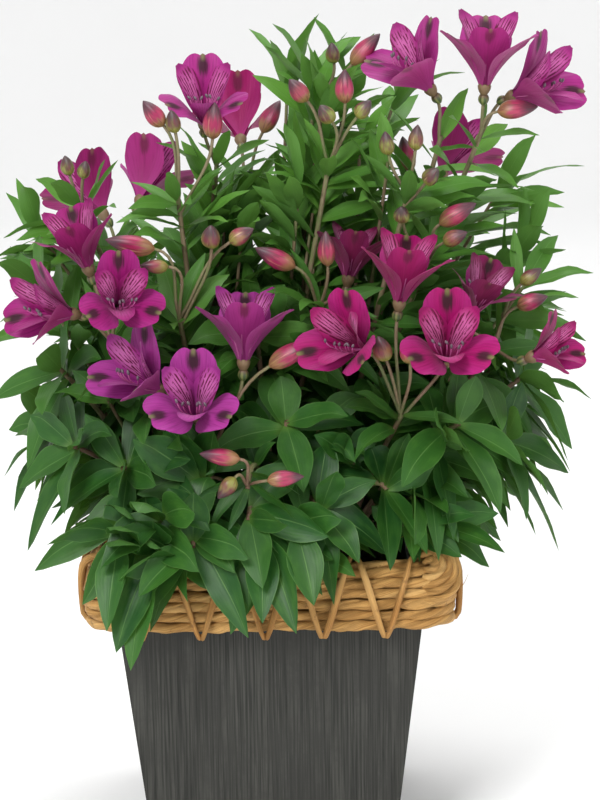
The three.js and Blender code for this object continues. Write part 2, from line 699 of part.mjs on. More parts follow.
// The curve of a head's own stalk, leaving the stem near its tip and arriving along `facing`.
function stalkCurve(stem, from, base, facing) {
  const start = stemMiddle(stem, from);
  const far = start.distanceTo(base);
  return [
    start,
    start.clone().lerp(base, 0.4),
    base.clone().addScaledVector(facing, -far * 0.35),
    base,
  ];
}

// All stems, heads and leaves, placed before any is made solid
function layOut() {
  const plans = CLUMPS.map(({ name, foot, stems }, c) => {
    const plan = { name, foot, stems: [], buds: [], blooms: [], leaves: [] };
    stems.forEach(([tip, lift, , heads], s) => {
      const owner = { stem: `${name}_${s}`, node: name };
      const curve = stemCurve(foot, tip, lift);
      plan.stems.push(curve);
      claim(samplesOfStalk(curve, 2), owner);
      heads.forEach(([kind, at, way, size, last], h) => {
        const base = vec(at);
        const facing = vec(way).normalize();
        const stalkLine = stalkCurve(curve, 0.985 - 0.02 * (h % 3), base, facing);
        claim(samplesOfStalk(stalkLine, 1.5), owner);
        if (kind === "bloom") {
          const node = `bloom_${c + 1}_${s + 1}_${h + 1}`;
          plan.blooms.push({ name: node, stalkLine, base, facing, size, colour: last });
          const { outer, inner } = petals(base, facing, size);
          for (const b of [...outer, ...inner]) claim(samplesOfBlade(b), { stem: node, node });
        } else {
          plan.buds.push({ stalkLine, base, facing, length: size, radius: last });
          const spots = [0.3, 0.6].map((share) => ({
            at: base.clone().addScaledVector(facing, size * share), radius: last * 0.9,
          }));
          claim(spots, owner);
        }
      });
    });
    return plan;
  });
  CLUMPS.forEach(({ name, stems }, c) => {
    stems.forEach(([, , [low, lowCount, top, topCount, size]], s) => {
      const owner = { stem: `${name}_${s}`, node: name };
      const curve = plans[c].stems[s];
      const seed = c * 10 + s + 1;
      plans[c].leaves.push(...leaves(curve, RULES[top], topCount, size, 0.9, 0.985, seed, owner));
      plans[c].leaves.push(...leaves(curve, RULES[low], lowCount, size, 0.5, 0.84, seed + 500, owner));
    });
  });
  return plans;
}

function clump({ name, foot, stems, buds, blooms, leaves: blades }) {
  const stub = new THREE.CylinderGeometry(STUB_RADIUS, STUB_RADIUS, STUB_DEPTH + 4, 6);
  stub.rotateX(Math.PI / 2).translate(foot[0], foot[1], SOIL_TOP + 2 - STUB_DEPTH / 2);
  const pieces = [
    stub,
    ...stems.map(stem),
    ...blooms.map(bloomStalk),
    ...buds.map(bud),
    ...blades.map((b) => bladeSkin(b, b.length > LONG_LEAF ? LONG_STATIONS : SHORT_STATIONS)),
  ];
  add(name, "leaf", geometryOf(fused(pieces)));
}

planter();
soil();
rim();
for (const plan of layOut()) {
  clump(plan);
  for (const b of plan.blooms) add(b.name, b.colour, geometryOf(bloom(b.base, b.facing, b.size)));
}

export default part;
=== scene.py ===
# A potted Peruvian lily in a tapered square wooden planter with a rope rim.
# Metres, +Z up, -Y towards the front. The origin is the middle of the planter's underside.
import itertools
import math

import bpy
import numpy as np
from mathutils import Matrix, Vector


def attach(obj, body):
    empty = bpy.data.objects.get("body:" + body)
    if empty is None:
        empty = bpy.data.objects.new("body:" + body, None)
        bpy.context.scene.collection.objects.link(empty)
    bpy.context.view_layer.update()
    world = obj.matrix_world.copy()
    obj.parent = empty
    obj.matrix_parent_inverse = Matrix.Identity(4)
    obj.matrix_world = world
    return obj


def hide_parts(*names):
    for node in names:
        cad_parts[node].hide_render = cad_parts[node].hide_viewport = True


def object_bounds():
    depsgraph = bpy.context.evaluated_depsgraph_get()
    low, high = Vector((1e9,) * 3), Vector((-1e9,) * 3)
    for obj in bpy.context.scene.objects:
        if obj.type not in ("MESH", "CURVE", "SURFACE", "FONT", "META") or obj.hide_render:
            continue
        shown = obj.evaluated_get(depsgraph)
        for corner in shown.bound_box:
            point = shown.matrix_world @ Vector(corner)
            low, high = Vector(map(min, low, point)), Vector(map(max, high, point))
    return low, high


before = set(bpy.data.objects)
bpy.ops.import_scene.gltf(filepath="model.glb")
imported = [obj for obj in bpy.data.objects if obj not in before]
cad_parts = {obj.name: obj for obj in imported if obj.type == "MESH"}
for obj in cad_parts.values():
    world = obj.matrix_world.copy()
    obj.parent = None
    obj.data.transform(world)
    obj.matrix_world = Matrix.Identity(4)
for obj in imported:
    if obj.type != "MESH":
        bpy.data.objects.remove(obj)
cad_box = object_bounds()

# Planter and rope rim, as in the solids
SOIL_TOP = 0.171
SOIL_HALF = 0.0833  # half width of the soil at its top
RIM_CORNER = 0.020  # plan radius of the rim's corners at ROWS[0]
ROPE_RADIUS = 0.0031
ROWS = [
    [0.1094, 0.1604], [0.1102, 0.1669], [0.1106, 0.1734], [0.1104, 0.1799],
    [0.1092, 0.1864], [0.1052, 0.1919], [0.0990, 0.1942], [0.0926, 0.1924],
]
LASHES = [-0.078, -0.042, -0.003, 0.032, 0.070]  # where the lashing passes under the rim, along each side
LASH_SPREAD = 0.017
LASH_BENDS = [[0.1000, 0.1998], [0.1142, 0.1925], [0.1160, 0.1585], [0.1090, 0.1540]]
SIDE_TURNS = [(1, 0), (0, 1), (-1, 0), (0, -1)]  # cosine and sine for the front, right, back and left

# Plants, as in the solids
ROOT_DEPTH = 0.0009  # of a leaf's root in its stem
STEM_RADII = [0.0027, 0.0025, 0.0023, 0.0021, 0.0019]
CLEARANCE = 0.0044  # between leaves of two clumps, and of one
OWN_CLEARANCE = 0.0035
STEM_ROOM = 0.002  # radius that a stem claims, and a stalk
STALK_ROOM = 0.0015
TOP_SPAN = (0.9, 0.985)  # where the leaves at a stem's tip start and end along it, and those below them
LOW_SPAN = (0.5, 0.84)
LOW_SEED = 500
FIRST_HEAD = 0.985  # where the heads leave a stem
HEAD_STEP = 0.02
GOLDEN_ANGLE = math.radians(137.5)
RIM_ROOM = {"low": 0.150, "high": 0.201, "inner": 0.077, "outer": 0.119}
SOIL_ROOM = 0.005
SWING = 0.28  # each turn of a leaf that looks for room
LEAF_TRIES = 9
LEAF_STALK = 0.0007  # half width
LEAF_FOLD = 0.16
LEAF_SPREAD = 8  # degrees either way
# How leaves vary about their rule: each pair is the least factor and the extent above it
LEAF_RANGES = {"length": (0.88, 0.24), "width": (0.9, 0.2), "droop": (0.6, 0.8), "roll": 0.25}
BLADE_SAMPLES = np.arange(2, 11) / 10
BLADE_SAMPLE_SIDES = [-0.9, -0.45, 0.0, 0.45, 0.9]
STALK_SAMPLE_STEP = 0.004
UPRIGHT = 0.85  # a flower whose axis rises by more than this faces up

# Camera: what it looks at, from where, and how far in its picture reaches
CAMERA_TARGET = (0.020, 0.0, 0.274)
CAMERA_RISE = math.radians(14.0)
CAMERA_FAR = 1.9
CAMERA_LENS = 135.2
CAMERA_ROLL = math.radians(-0.8)
TOWARDS_CAMERA = np.array([0.0, -math.cos(CAMERA_RISE), math.sin(CAMERA_RISE)])

# Leaf rules: numbers in pairs run from the first leaf to the last
RULES = {
    # narrow leaves up a flowering stem, and the whorl under its flowers
    "stem": {
        "spread": [76, 50], "length": [0.060, 0.054], "width": [0.0072, 0.0062],
        "droop": [0.3, 0.16], "widest": 0.44, "lean": 0.2,
    },
    "whorl": {
        "spread": [70, 42], "length": [0.048, 0.040], "width": [0.0058, 0.0048],
        "droop": [0.14, 0.05], "widest": 0.42, "lean": 0.2,
    },
    # narrow leaves that point up, between the others
    "ascending": {
        "spread": [48, 62], "length": [0.068, 0.050], "width": [0.0072, 0.0058],
        "droop": [0.16, 0.05], "widest": 0.42, "lean": 0.2,
    },
    # broad leaves that hang over the rim
    "draped": {
        "spread": [104, 66], "length": [0.048, 0.052], "width": [0.0110, 0.0130],
        "droop": [0.42, 0.30], "widest": 0.5, "lean": 0.6,
    },
    # broad leaves of a leafy shoot, older ones first, and its closing tuft
    "shoot": {
        "spread": [95, 80], "length": [0.050, 0.050], "width": [0.0096, 0.0098],
        "droop": [0.3, 0.24], "widest": 0.5, "lean": 0.75,
    },
    "rosette": {
        "spread": [88, 48], "length": [0.050, 0.038], "width": [0.0102, 0.0084],
        "droop": [0.26, 0.1], "widest": 0.52, "lean": 0.8,
    },
}

# Clumps of stems that share a root, as [name, foot, stems].
# A stem is [tip, lift of its arch, leaf plan, heads].
# A leaf plan is [rule on the stem, count, rule at the tip, count, size].
# A head is ["bloom", base, facing, size, shade] or ["bud", base, direction, length, radius].
SHOOT = ["shoot", 2, "rosette", 8, 1.1]
BACK_SHOOT = ["shoot", 1, "rosette", 7, 1.15]
LEAFY = ["stem", 5, "whorl", 6, 1]
BACK_LEAFY = ["stem", 4, "whorl", 4, 1.1]
CLUMPS = [
    ["clump_front_left", [-0.046, -0.048], [
        [[-0.045, -0.126, 0.216], 0.04, SHOOT, []],
        [[-0.038, -0.084, 0.258], 0.01, ["shoot", 3, "whorl", 2, 1], [
            ["bloom", [-0.042, -0.093, 0.286], [-0.05, -0.8, 0.6], 0.05, "violet"],
            ["bloom", [-0.062, -0.084, 0.3], [-0.6, -0.5, 0.62], 0.048, "violet"],
            ["bloom", [-0.014, -0.078, 0.312], [0.04, -0.02, 1], 0.052, "violet"],
            ["bud", [0.002, -0.092, 0.318], [0.85, -0.1, 0.5], 0.032, 0.0066],
        ]],
        [[-0.088, -0.092, 0.256], 0.02, SHOOT, []],
        [[-0.12, -0.074, 0.266], 0.016, SHOOT, []],
    ]],
    ["clump_front", [0.0, -0.058], [
        [[-0.012, -0.12, 0.23], 0.04, SHOOT, []],
        [[-0.012, -0.122, 0.25], 0.05, ["stem", 0, "whorl", 2, 0.7], [
            ["bud", [-0.016, -0.134, 0.272], [-0.95, 0, 0.15], 0.024, 0.0054],
            ["bud", [-0.019, -0.135, 0.261], [-0.6, -0.1, -0.7], 0.016, 0.0052],
            ["bud", [0.0, -0.132, 0.258], [0.95, 0, 0.1], 0.022, 0.0052],
        ]],
        [[0.032, -0.112, 0.232], 0.036, ["shoot", 1, "rosette", 7, 1], []],
        [[0.012, -0.084, 0.282], 0.01, ["shoot", 1, "rosette", 7, 1.1], []],
    ]],
    ["clump_front_right", [0.044, -0.05], [
        [[0.082, -0.078, 0.284], 0.006, ["shoot", 3, "whorl", 3, 1], [
            ["bloom", [0.061, -0.084, 0.325], [-0.5, -0.74, 0.42], 0.048, "crimson"],
            ["bloom", [0.08, -0.068, 0.345], [0.15, -0.1, 1], 0.05, "crimson"],
            ["bloom", [0.108, -0.08, 0.316], [0.02, -0.8, 0.6], 0.052, "crimson"],
            ["bud", [0.072, -0.098, 0.322], [-0.3, -0.2, 0.9], 0.017, 0.0062],
            ["bud", [0.086, -0.098, 0.32], [-0.1, -0.2, 0.95], 0.018, 0.0056],
        ]],
        [[0.072, -0.1, 0.242], 0.03, ["shoot", 1, "rosette", 8, 1], []],
        [[0.116, -0.088, 0.28], 0.014, SHOOT, []],
    ]],
    ["clump_left", [-0.066, -0.008], [
        [[-0.096, -0.058, 0.332], 0.006, ["shoot", 3, "whorl", 2, 1], [
            ["bloom", [-0.106, -0.05, 0.366], [-0.3, -0.2, 0.93], 0.046, "plum"],
            ["bloom", [-0.112, -0.07, 0.346], [-0.8, -0.5, 0.3], 0.046, "plum"],
            ["bloom", [-0.09, -0.072, 0.35], [0.15, -0.86, 0.45], 0.045, "plum"],
        ]],
        [[-0.128, -0.04, 0.306], 0.014, SHOOT, []],
        [[-0.084, -0.046, 0.296], 0.006, ["shoot", 1, "rosette", 8, 1.1], []],
        [[-0.134, -0.004, 0.262], 0.02, ["shoot", 1, "rosette", 8, 1.1], []],
    ]],
    ["clump_middle_left", [-0.034, -0.006], [
        [[-0.053, -0.056, 0.342], 0.004, ["stem", 4, "whorl", 5, 1.1], [
            ["bud", [-0.066, -0.074, 0.387], [-0.95, -0.1, 0.22], 0.03, 0.0066],
            ["bud", [-0.058, -0.074, 0.376], [-0.9, -0.2, 0.1], 0.017, 0.0046],
            ["bud", [-0.032, -0.066, 0.386], [0, -0.4, 0.9], 0.016, 0.0062],
            ["bud", [-0.021, -0.062, 0.388], [0.85, -0.1, 0.5], 0.017, 0.0056],
        ]],
        [[-0.053, -0.028, 0.41], 0.002, LEAFY, [
            ["bud", [-0.06, -0.04, 0.456], [-0.6, -0.1, 0.78], 0.02, 0.006],
            ["bud", [-0.053, -0.042, 0.452], [-0.15, -0.2, 0.95], 0.015, 0.005],
            ["bud", [-0.031, -0.03, 0.446], [0.08, -0.1, 1], 0.023, 0.0066],
        ]],
    ]],
    ["clump_middle", [0.002, -0.01], [
        [[0.034, -0.042, 0.346], 0.004, ["shoot", 3, "whorl", 4, 1], [
            ["bloom", [0.05, -0.027, 0.352], [0.15, 0.1, 1], 0.04, "maroon"],
            ["bud", [0.018, -0.06, 0.372], [-0.85, -0.1, 0.45], 0.027, 0.0064],
            ["bud", [0.038, -0.058, 0.372], [-0.05, -0.1, 1], 0.022, 0.0058],
        ]],
        [[0.04, -0.018, 0.43], 0.002, LEAFY, [
            ["bud", [0.027, -0.027, 0.468], [-0.6, -0.2, 0.78], 0.018, 0.006],
            ["bud", [0.05, -0.025, 0.466], [0, 0, 1], 0.021, 0.0062],
            ["bud", [0.042, -0.034, 0.456], [-0.5, -0.3, 0.75], 0.014, 0.0056],
            ["bud", [0.057, -0.03, 0.458], [0.6, -0.2, 0.75], 0.014, 0.0052],
        ]],
        [[-0.006, -0.046, 0.332], 0.004, ["shoot", 2, "rosette", 7, 1.15], []],
    ]],
    ["clump_middle_right", [0.04, 0.0], [
        [[0.088, -0.03, 0.412], 0.002, LEAFY, [
            ["bud", [0.076, -0.038, 0.436], [-0.15, -0.1, 1], 0.015, 0.005],
            ["bud", [0.092, -0.04, 0.439], [0.1, -0.1, 1], 0.016, 0.005],
            ["bud", [0.098, -0.046, 0.42], [0.5, -0.5, 0.7], 0.014, 0.0054],
        ]],
        [[0.103, -0.024, 0.374], 0.004, ["stem", 4, "whorl", 4, 1], [
            ["bud", [0.107, -0.034, 0.392], [0.83, -0.1, 0.5], 0.026, 0.0064],
            ["bud", [0.109, -0.042, 0.382], [0.75, -0.3, 0.4], 0.017, 0.0054],
            ["bud", [0.084, -0.044, 0.396], [-0.1, -0.5, 0.85], 0.012, 0.0054],
        ]],
    ]],
    ["clump_right", [0.068, -0.022], [
        [[0.142, -0.036, 0.318], 0.006, ["shoot", 3, "whorl", 3, 1.1], [
            ["bloom", [0.124, -0.052, 0.336], [0.35, -0.3, 0.88], 0.04, "maroon"],
            ["bloom", [0.158, -0.058, 0.312], [0.8, -0.4, 0.42], 0.036, "crimson"],
            ["bud", [0.154, -0.044, 0.342], [0.88, -0.2, 0.35], 0.02, 0.0056],
            ["bud", [0.157, -0.034, 0.354], [0.75, -0.1, 0.6], 0.016, 0.0048],
        ]],
        [[0.148, -0.058, 0.262], 0.02, SHOOT, []],
        [[0.162, -0.012, 0.292], 0.012, SHOOT, []],
    ]],
    ["clump_back_left", [-0.048, 0.042], [
        [[-0.116, -0.006, 0.404], 0.002, ["stem", 6, "whorl", 7, 1.15], [
            ["bud", [-0.12, -0.012, 0.422], [-0.2, -0.2, 1], 0.013, 0.0046],
            ["bud", [-0.112, -0.012, 0.42], [0.2, -0.3, 0.95], 0.012, 0.0044],
        ]],
        [[-0.03, 0.018, 0.424], 0.002, BACK_LEAFY, [
            ["bloom", [-0.037, 0.006, 0.446], [0.02, -0.62, 0.78], 0.048, "orchid"],
        ]],
        [[-0.096, 0.07, 0.352], 0.004, BACK_LEAFY, [
            ["bloom", [-0.104, 0.082, 0.376], [-0.5, 0.62, 0.6], 0.048, "plum"],
            ["bloom", [-0.084, 0.086, 0.384], [0.3, 0.7, 0.65], 0.048, "orchid"],
        ]],
        [[-0.126, 0.05, 0.284], 0.016, BACK_SHOOT, []],
    ]],
    ["clump_back", [0.002, 0.046], [
        [[0.036, 0.022, 0.466], 0.0, ["stem", 6, "whorl", 6, 1.2], [
            ["bud", [0.055, 0.016, 0.484], [0.7, 0, 0.75], 0.026, 0.0062],
            ["bud", [0.044, 0.01, 0.486], [-0.1, -0.3, 0.95], 0.014, 0.0048],
        ]],
        [[-0.014, 0.092, 0.396], 0.002, BACK_LEAFY, [
            ["bloom", [-0.016, 0.106, 0.42], [-0.1, 0.8, 0.6], 0.05, "crimson"],
            ["bud", [-0.002, 0.094, 0.43], [0.5, 0.2, 0.85], 0.024, 0.0062],
        ]],
        [[0.006, 0.118, 0.252], 0.03, BACK_SHOOT, []],
        [[-0.062, 0.112, 0.268], 0.024, BACK_SHOOT, []],
    ]],
    ["clump_back_right", [0.05, 0.04], [
        [[0.136, 0.004, 0.446], 0.0, ["stem", 5, "whorl", 5, 1.1], [
            ["bloom", [0.136, 0.0, 0.466], [0.06, -0.14, 1], 0.053, "orchid"],
            ["bloom", [0.15, 0.01, 0.462], [0.8, -0.42, 0.44], 0.05, "orchid"],
            ["bud", [0.144, -0.008, 0.457], [0.95, -0.1, 0.12], 0.025, 0.0064],
        ]],
        [[0.11, 0.008, 0.44], 0.0, BACK_LEAFY, [
            ["bloom", [0.106, 0.003, 0.466], [-0.54, -0.3, 0.78], 0.049, "orchid"],
        ]],
        [[0.1, 0.078, 0.376], 0.002, BACK_LEAFY, [
            ["bloom", [0.112, 0.09, 0.398], [0.5, 0.62, 0.6], 0.048, "plum"],
            ["bud", [0.094, 0.09, 0.404], [-0.2, 0.4, 0.9], 0.024, 0.0062],
        ]],
        [[0.15, 0.056, 0.322], 0.008, BACK_SHOOT, []],
        [[0.08, 0.11, 0.27], 0.024, BACK_SHOOT, []],
    ]],
]

# Filling of the plant
FILL_CLEARANCE = 0.0022  # for the small leaves that fill the plant
STEM_FILL = 9  # more leaves tried on each stem, from STEM_FILL_FROM on
STEM_FILL_FROM = 0.3
STEM_FILL_RUN = 0.69
NARROW_FILL = 3  # times as many on a tall one
FILL_SHOOTS = 11  # small shoots tried near each stem
SHOOT_LEAVES = 10
NARROW_LEAVES = 4  # more on a shoot with narrow leaves
SHOOT_SPREAD = 48  # degrees between a shoot and its first leaf, and where its leaves are narrow
NARROW_SPREAD = 34
SPREAD_GAIN = 42  # degrees more by its last leaf
FILL_TRIES = 6
FILL_RANGES = {"length": (0.85, 0.3), "width": (0.9, 0.25), "droop": (0.5, 1.1), "roll": 0.35}
FEWEST_LEAVES = 2  # of a small shoot, and two more where its leaves are narrow
FEWEST_AT_TIP = 2  # among its first TIP_LEAVES leaves
TIP_LEAVES = 4
FILL_SAMPLES = np.array([0.25, 0.4, 0.55, 0.7, 0.85, 0.98])
FILL_SAMPLE_SIDES = [-0.8, 0.0, 0.8]
NARROW_FROM = 0.32  # from this height up, small shoots have narrow leaves
FILL_REACH = 0.004  # how far past the solids' box a small leaf may reach
BEFORE_FRONT = 0.004  # how far before a flower a leaf counts as hiding it
ROOM_CELL = 0.02
ROOM_REACH = 0.009  # further apart than this, nothing needs a check
STEM_FILL_SEED = 20000
SHOOT_SEED = 50000
DRAPED_SEED = 90000
UPPER_SEED = 95000
# Small shoots listed one by one, as [tip, lift]: over the front of the rim, and up at the top and the sides
DRAPED_SHOOTS = [
    [[-0.072, -0.127, 0.205], 0.046], [[-0.055, -0.130, 0.196], 0.056], [[-0.090, -0.122, 0.222], 0.04],
    [[-0.034, -0.129, 0.204], 0.05], [[-0.064, -0.127, 0.232], 0.03], [[-0.044, -0.128, 0.220], 0.04],
    [[-0.004, -0.127, 0.212], 0.04], [[0.018, -0.124, 0.222], 0.034], [[-0.026, -0.128, 0.232], 0.034],
    [[-0.080, -0.128, 0.214], 0.04],
]
UPPER_SHOOTS = [
    [[-0.012, 0.060, 0.475], 0.004], [[0.015, 0.075, 0.470], 0.004], [[0.035, 0.056, 0.478], 0.004],
    [[0.055, 0.080, 0.465], 0.004], [[0.085, 0.070, 0.458], 0.004], [[-0.040, 0.060, 0.452], 0.004],
    [[-0.135, 0.030, 0.400], 0.01], [[-0.116, 0.050, 0.425], 0.01], [[-0.104, 0.020, 0.410], 0.01],
    [[-0.142, 0.000, 0.385], 0.01], [[-0.080, 0.050, 0.420], 0.01], [[0.150, 0.050, 0.400], 0.01],
    [[0.165, 0.020, 0.370], 0.01], [[0.140, 0.070, 0.430], 0.01], [[0.120, 0.030, 0.420], 0.01],
    [[0.160, -0.020, 0.350], 0.01], [[-0.140, -0.030, 0.355], 0.01],
]

# Leaf sheets
LEAF_GRID = [12, 6]  # faces along and across a leaf
SMALL_LEAF_GRID = [10, 4]
NARROW_WIDTH = 0.0085  # half width below which a leaf counts as narrow
NARROW_TAPER = 1.3  # how a leaf draws in to its tip: more is sharper
BROAD_TAPER = 0.95
NARROW_TWIST = 1.3
BROAD_TWIST = 0.5
YOUTH_AND_PAINTED_LIGHT_HEIGHTS = [0.24, 0.42]  # leaves turn from dark to pale between these heights: partly because young leaves are paler, partly painted shade on the lower leaves and painted light on the upper ones

# Stems, stalks, pods and buds
GREEN_HEIGHTS = [0.2, 0.5]  # stems turn from brown to green between these heights
STEM_SLIM = 0.78  # of the solids' radii
SHOOT_RADII = [0.0016, 0.001]
BLOOM_STALK_RADIUS = 0.0011
BUD_STALK_RADIUS = 0.0010
POD_LENGTH = 0.005
POD_RADII = [0.0012, 0.0026, 0.0031, 0.0030, 0.0024]
BUD_SLIM = 0.93  # of the solids' radius
BUD_POINT = 0.0002
RIPE_LENGTHS = [0.013, 0.021]  # buds turn from green to pink between these lengths

# Flowers
OUTER_BREADTH = 1.22  # how much broader petals are than in the solids
INNER_BREADTH = 1.36
LOWEST_BREADTH = 1.5  # of the lowest petal of an upright flower
OUTER_FAN = {"rows": 18, "columns": 18, "reach": 0.66, "notch": 0.06, "ruffle": 0.10, "cup": 0.10}
INNER_FAN = {"rows": 18, "columns": 12, "reach": 0.62, "notch": -0.05, "ruffle": 0.07, "cup": 0.16}
CUP_RADII = [0.0019, 0.0031, 0.0039, 0.0042, 0.0034]
CUP_LENGTH = 0.0075
FILAMENTS = 6
FILAMENT_RADIUS = 0.00042
ANTHER_LENGTH = 0.0034
ANTHER_RADII = [0.0001, 0.0007, 0.0009, 0.0008, 0.0001]
PETAL_COLOURS = {
    "violet": (0.33, 0.028, 0.235), "plum": (0.29, 0.006, 0.140), "crimson": (0.33, 0.002, 0.115),
    "orchid": (0.34, 0.018, 0.190), "maroon": (0.16, 0.003, 0.055),
}
LILAC_SHADES = ["violet", "orchid"]  # these pass the lilac slot's name, the others the magenta one's, but Bag.piece does not use it

# Rope
ROPE_STEP = 0.0024  # between the rings of a strand
ROPE_PITCH = 0.062  # length of one turn of the strands
ROPE_STRANDS = 3
STRAND_OFFSET = 0.42  # a strand's place and half sizes, in rope radii
STRAND_FLAT = 0.54
STRAND_WIDE = 0.97
STRAND_SIDES = 8
ROPE_SEEDS = {"sway": 90, "lift": 190, "drift": 290, "swell": 390, "tone": 490}
ROW_SWAY = 0.0007  # how far a row strays outwards and up
ROW_LIFT = 0.0008
INNER_STRANDS = [[0.1025, 0.1645], [0.1035, 0.1740], [0.1025, 0.1835]]
INNER_STRAND_RADIUS = 0.0042
INNER_STRAND_STEP = 0.006
LASH_STRAND_RADIUS = 0.0014 * 1.3  # thicker than in the solids
LASH_STEP = 0.0022
LASH_PINCH = [1.0, 0.74, 0.14, 0.0]  # how the two arms of a V draw together
SWIRL_CENTRE = [0.0975, -0.1070, 0.1975]
SWIRL_FACING = [0.45, -0.75, 0.50]
SWIRL_BANDS = 5
SWIRL_STEP = 0.0046
SWIRL_BULGE = 0.006
SWIRL_TUCK = 0.005  # how far the ends of a band go in
SWIRL_BAND_RADIUS = 0.0031
SWIRL_RINGS = 26
SWIRL_FIBRES = 36
FIBRE_RADII = [0.0003, 0.0001]

# Boards and soil
BOARD_EDGE = 0.0007
SOIL_GRID = 71  # points along each side of the soil's top
SOIL_SINK = 0.004  # how much lower it is at the liner
SOIL_SKIRT = 0.150  # how far down its edge reaches
CLOD_HEIGHT = 0.0011

# Studio
STUDIO_RADIUS = 3.6
STUDIO_BEND = 1.5
STUDIO_HEIGHT = 2.4
STUDIO_SIDES = 64
BEND_STEPS = 12
SKY = 0.6
LIGHT_TARGET = (0.0, 0.0, 0.28)
LIGHTS = [
    ("key", (-0.9, -1.9, 2.0), 0.9, 62.0),
    ("fill", (1.7, -1.5, 1.0), 1.2, 14.0),
    ("top", (0.2, 0.5, 2.2), 1.1, 26.0),
]

UP = np.array([0.0, 0.0, 1.0])
FULL_TURN = 2 * math.pi
MASK = 0xFFFFFFFF
DRAW_STEP = 0x6D2B79F5


# Small tools

def mix(pair, share):
    return pair[0] + (pair[1] - pair[0]) * share


def unit(p):
    return p / np.linalg.norm(p)


def smooth(low, high, x):
    share = np.clip((x - low) / (high - low), 0.0, 1.0)
    return share * share * (3.0 - 2.0 * share)


class Draws:
    """Repeatable draws from 0 to 1: the same for the same seed."""

    def __init__(self, seed):
        self.state = int(seed) & MASK

    def __call__(self):
        self.state = (self.state + DRAW_STEP) & MASK
        a = self.state
        t = ((a ^ (a >> 15)) * (a | 1)) & MASK
        t ^= (t + (((t ^ (t >> 7)) * (t | 61)) & MASK)) & MASK
        return ((t ^ (t >> 14)) & MASK) / (MASK + 1)

    def over(self, low, extent):
        """A draw from low to low + extent."""
        return low + extent * self()

    def spread(self, size):
        """A draw from -size to size."""
        return size * 2.0 * (self() - 0.5)


def bezier(points, t):
    a, b, c, d = points
    t = np.asarray(t, float)[..., None]
    s = 1.0 - t
    return a * s**3 + b * 3 * s * s * t + c * 3 * s * t * t + d * t**3


def bezier_tangent(points, t):
    a, b, c, d = points
    t = np.asarray(t, float)[..., None]
    s = 1.0 - t
    along = (b - a) * s * s + (c - b) * 2 * s * t + (d - c) * t * t
    return along / np.linalg.norm(along, axis=-1, keepdims=True)


def bezier_points(points, count):
    return bezier(points, np.linspace(0, 1, count))


def crossways(axis):
    """Two directions square to an axis and to each other."""
    aside = np.array([0.0, 1.0, 0.0]) if abs(axis[1]) < 0.9 else np.array([1.0, 0.0, 0.0])
    e1 = unit(np.cross(axis, aside))
    return e1, np.cross(axis, e1)


def turned_about(p, axis, angle):
    c, s = math.cos(angle), math.sin(angle)
    return p * c + np.cross(axis, p) * s + axis * np.dot(axis, p) * (1 - c)


def link(name, data):
    made = bpy.data.objects.new(name, data)
    bpy.context.scene.collection.objects.link(made)
    return made


# Meshes

def add_piece(name, mesh, material, replaces=()):
    """A mesh as one object that rides on the part."""
    mesh.materials.append(material)
    piece = link(name, mesh)
    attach(piece, "root")
    if replaces:
        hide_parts(*replaces)
    return piece


class Bag:
    """Sheets and tubes gathered into one mesh, with a UV place and a tone at each point."""

    def __init__(self):
        self.points, self.faces, self.places, self.tones = [], [], [], []
        self.count = 0

    def add(self, points, faces, places, tone):
        n = len(points)
        self.points.append(np.asarray(points, float))
        self.faces.append(np.asarray(faces) + self.count)
        self.places.append(np.asarray(places, float))
        tone = np.asarray(tone, float)
        self.tones.append(np.broadcast_to(tone, (n, 3)) if tone.ndim == 1 else tone)
        self.count += n

    def sheet(self, grid, places, tone):
        """A grid of points [row][column] as one sheet."""
        rows, columns = grid.shape[:2]
        r, c = np.meshgrid(np.arange(rows - 1), np.arange(columns - 1), indexing="ij")
        a = (r * columns + c).ravel()
        faces = np.stack([a, a + 1, a + columns + 1, a + columns], axis=1)
        self.add(grid.reshape(-1, 3), faces, places.reshape(-1, 2), tone)

    def tube(self, rings, tone, loop=False, turns=1.0):
        """Rings of points [ring][side] as one tube, closed to a loop or with pinched ends."""
        count, sides = rings.shape[:2]
        last = count if loop else count - 1
        r, k = np.meshgrid(np.arange(last), np.arange(sides), indexing="ij")
        corners = [(r, k), (r, (k + 1) % sides), ((r + 1) % count, (k + 1) % sides), ((r + 1) % count, k)]
        faces = np.stack([(ring * sides + side).ravel() for ring, side in corners], axis=1)
        u = np.repeat(np.arange(count) / max(1, count - 1), sides) * turns
        v = np.tile(np.arange(sides) / sides, count)
        if np.ndim(tone) == 2:
            tone = np.repeat(tone, sides, axis=0)
        self.add(rings.reshape(-1, 3), faces, np.stack([u, v], axis=1), tone)

    def piece(self, name, material, slot, replaces=()):
        """The bag as one object that rides on the part."""
        points = np.concatenate(self.points)
        mesh = bpy.data.meshes.new(name)
        mesh.from_pydata(points.tolist(), [], np.concatenate(self.faces).tolist())
        corners = np.empty(len(mesh.loops), dtype=np.int32)
        mesh.loops.foreach_get("vertex_index", corners)
        places = np.concatenate(self.places)[corners].astype(np.float32)
        mesh.uv_layers.new(name="place").data.foreach_set("uv", places.ravel())
        tones = np.ones((len(points), 4), dtype=np.float32)
        tones[:, :3] = np.concatenate(self.tones)
        tone = mesh.color_attributes.new(name="tone", type="FLOAT_COLOR", domain="POINT")
        tone.data.foreach_set("color", tones.ravel())
        mesh.polygons.foreach_set("use_smooth", np.ones(len(mesh.polygons), dtype=bool))
        mesh.update()
        return add_piece(name, mesh, material, replaces)


